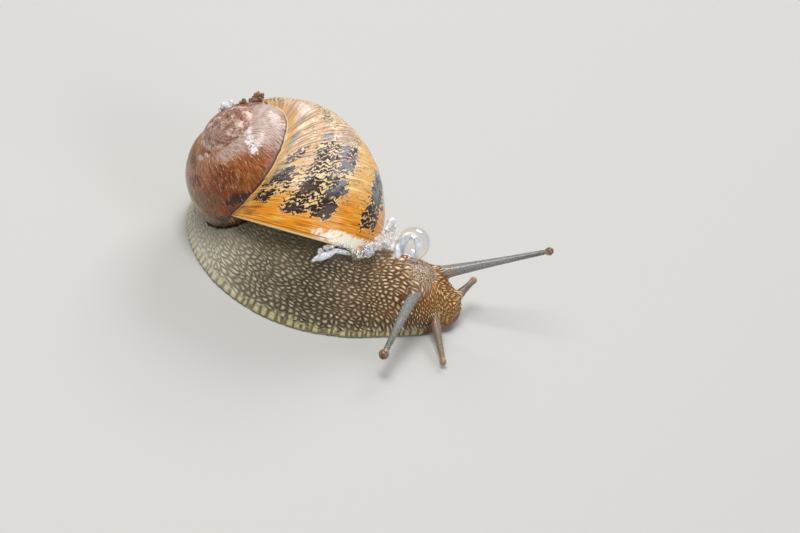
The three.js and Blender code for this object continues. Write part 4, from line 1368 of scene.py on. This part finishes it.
bench = Bench("blow_froth", {"Count": "Int", "Seed": "Int", "Smallest": "Float", "Largest": "Float",
                             "Material": "Material"})
count, seed, smallest, largest = map(bench.given, ("Count", "Seed", "Smallest", "Largest"))
curve = bench.node("GeometryNodeMeshToCurve", None, {0: bench.given("Geometry")})
line = bench.node("GeometryNodeResampleCurve", None, {"Curve": curve, "Count": count})
stray = bench.node("FunctionNodeRandomValue", {"data_type": "FLOAT_VECTOR"}, {
    0: (-1.0, -1.0, -1.0), 1: (1.0, 1.0, 1.0), "Seed": seed}).scaled(bench.stored("spread"))
strewn = bench.node("GeometryNodeSetPosition", None, {"Geometry": line, "Offset": stray})
strewn = bench.node("GeometryNodeCurveToPoints", {"mode": "EVALUATED"}, {0: strewn})
chance = bench.node("FunctionNodeRandomValue", {"data_type": "FLOAT"}, {
    2: smallest, 3: largest, "Seed": seed + 1.0}, out=1)
drop = bench.node("GeometryNodeMeshIcoSphere", None, {"Radius": 1.0, "Subdivisions": 2})
drop = bench.node("GeometryNodeSetShadeSmooth", None, {"Geometry": drop})
drops = bench.node("GeometryNodeInstanceOnPoints", None, {
    "Points": strewn, "Instance": drop, "Scale": chance * chance * bench.stored("bubble")})
bench.run_on(froth, drops, {"Count": FROTH_COUNT, "Seed": FROTH_SEED, "Smallest": SMALLEST,
                            "Largest": LARGEST, "Material": flow.material})
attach(froth, "root")

# ---------------------------------------------------------------------------
# Soil: a few dry crumbs stuck on top of the shell, and a crust of white lime
# dried on its far side.
# ---------------------------------------------------------------------------
CRUMBS = (   # x, y, z, radius of a lump, its height in radii, stray and number of its grains, lime
    (-24.90, 18.00, 24.60, 0.62, 0.6, 0.55, 7, 0.0),
    (-24.70, 18.05, 25.00, 0.52, 2.1, 0.45, 4, 0.0),
    (-24.15, 18.05, 25.00, 0.48, 1.2, 0.45, 4, 0.0),
    (-23.90, 17.95, 25.35, 0.36, 3.3, 0.20, 2, 0.0),
    (-25.55, 17.95, 24.40, 0.40, 0.6, 0.40, 4, 0.0),
    (-26.50, 17.25, 23.75, 0.44, 0.7, 0.40, 4, 0.0),
    (-26.95, 17.30, 23.40, 0.28, 0.6, 0.30, 2, 0.0),
    (-28.10, 17.05, 21.90, 0.70, 0.4, 0.35, 4, 1.0),
    (-28.55, 16.95, 21.30, 0.74, 0.4, 0.35, 4, 1.0),
    (-28.95, 16.75, 20.70, 0.60, 0.4, 0.30, 3, 1.0),
)
GRAIN_RINGS, SOIL_SEED, LAY_ROUNDS = 9, 4, 6
GRAIN_SIZES, GRAIN_HEIGHT, GRAIN_KNOBS = (0.25, 0.5), 0.5, 5     # in radii; bumps on each


def off_shell(p):
    return shell_distance(to_shell(p))[0]


rng = np.random.default_rng(SOIL_SEED)
ways, ball = ball_rows(GRAIN_RINGS)
lumps, soil_chalk = [], []
for x, y, z, radius, height, stray, count, chalky in CRUMBS:
    for n in range(count + 1):
        middle = np.array([x, y, z]) + OFFSET
        size = radius
        if n:
            middle = middle + rng.normal(0, stray, 3)
            size = radius * rng.uniform(*GRAIN_SIZES)
            height = GRAIN_HEIGHT
        for _ in range(LAY_ROUNDS):
            fall = off_shell(middle[None])[0] - size * height
            middle = middle - slope_of(off_shell, middle[None])[0] * fall * 0.7
        knobs = rng.normal(0, 1, (GRAIN_KNOBS, 3))
        lump = 1 + 0.10 * np.sin(ways @ knobs.T * 3.0 + rng.uniform(0, 6, GRAIN_KNOBS)).sum(1)
        lumps.append((middle + ways * rng.uniform(0.7, 1.2, 3) * (size * lump)[:, None], ball))
        soil_chalk += [chalky] * len(ways)
soil = make_piece("soil_crumbs", *joined_up(lumps), {"chalky": soil_chalk})
flow = Finish("soil_dry")
grit = flow.noise(flow.place(), 4.0, 4.0, 0.7)
earth = grit.step(0.38, 0.62).mix("5b3d2c", "a98468")
lime = grit.step(0.35, 0.60).mix("b9bcbe", "eef0f2")
flow.feed(Base_Color=flow.value("chalky").mix(earth, lime), Roughness=0.75 + grit * 0.2,
          Normal=flow.bump(grit, 0.7, 0.0002))
soil.data.materials.append(flow.material)
lift_faces(soil)
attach(soil, "root")
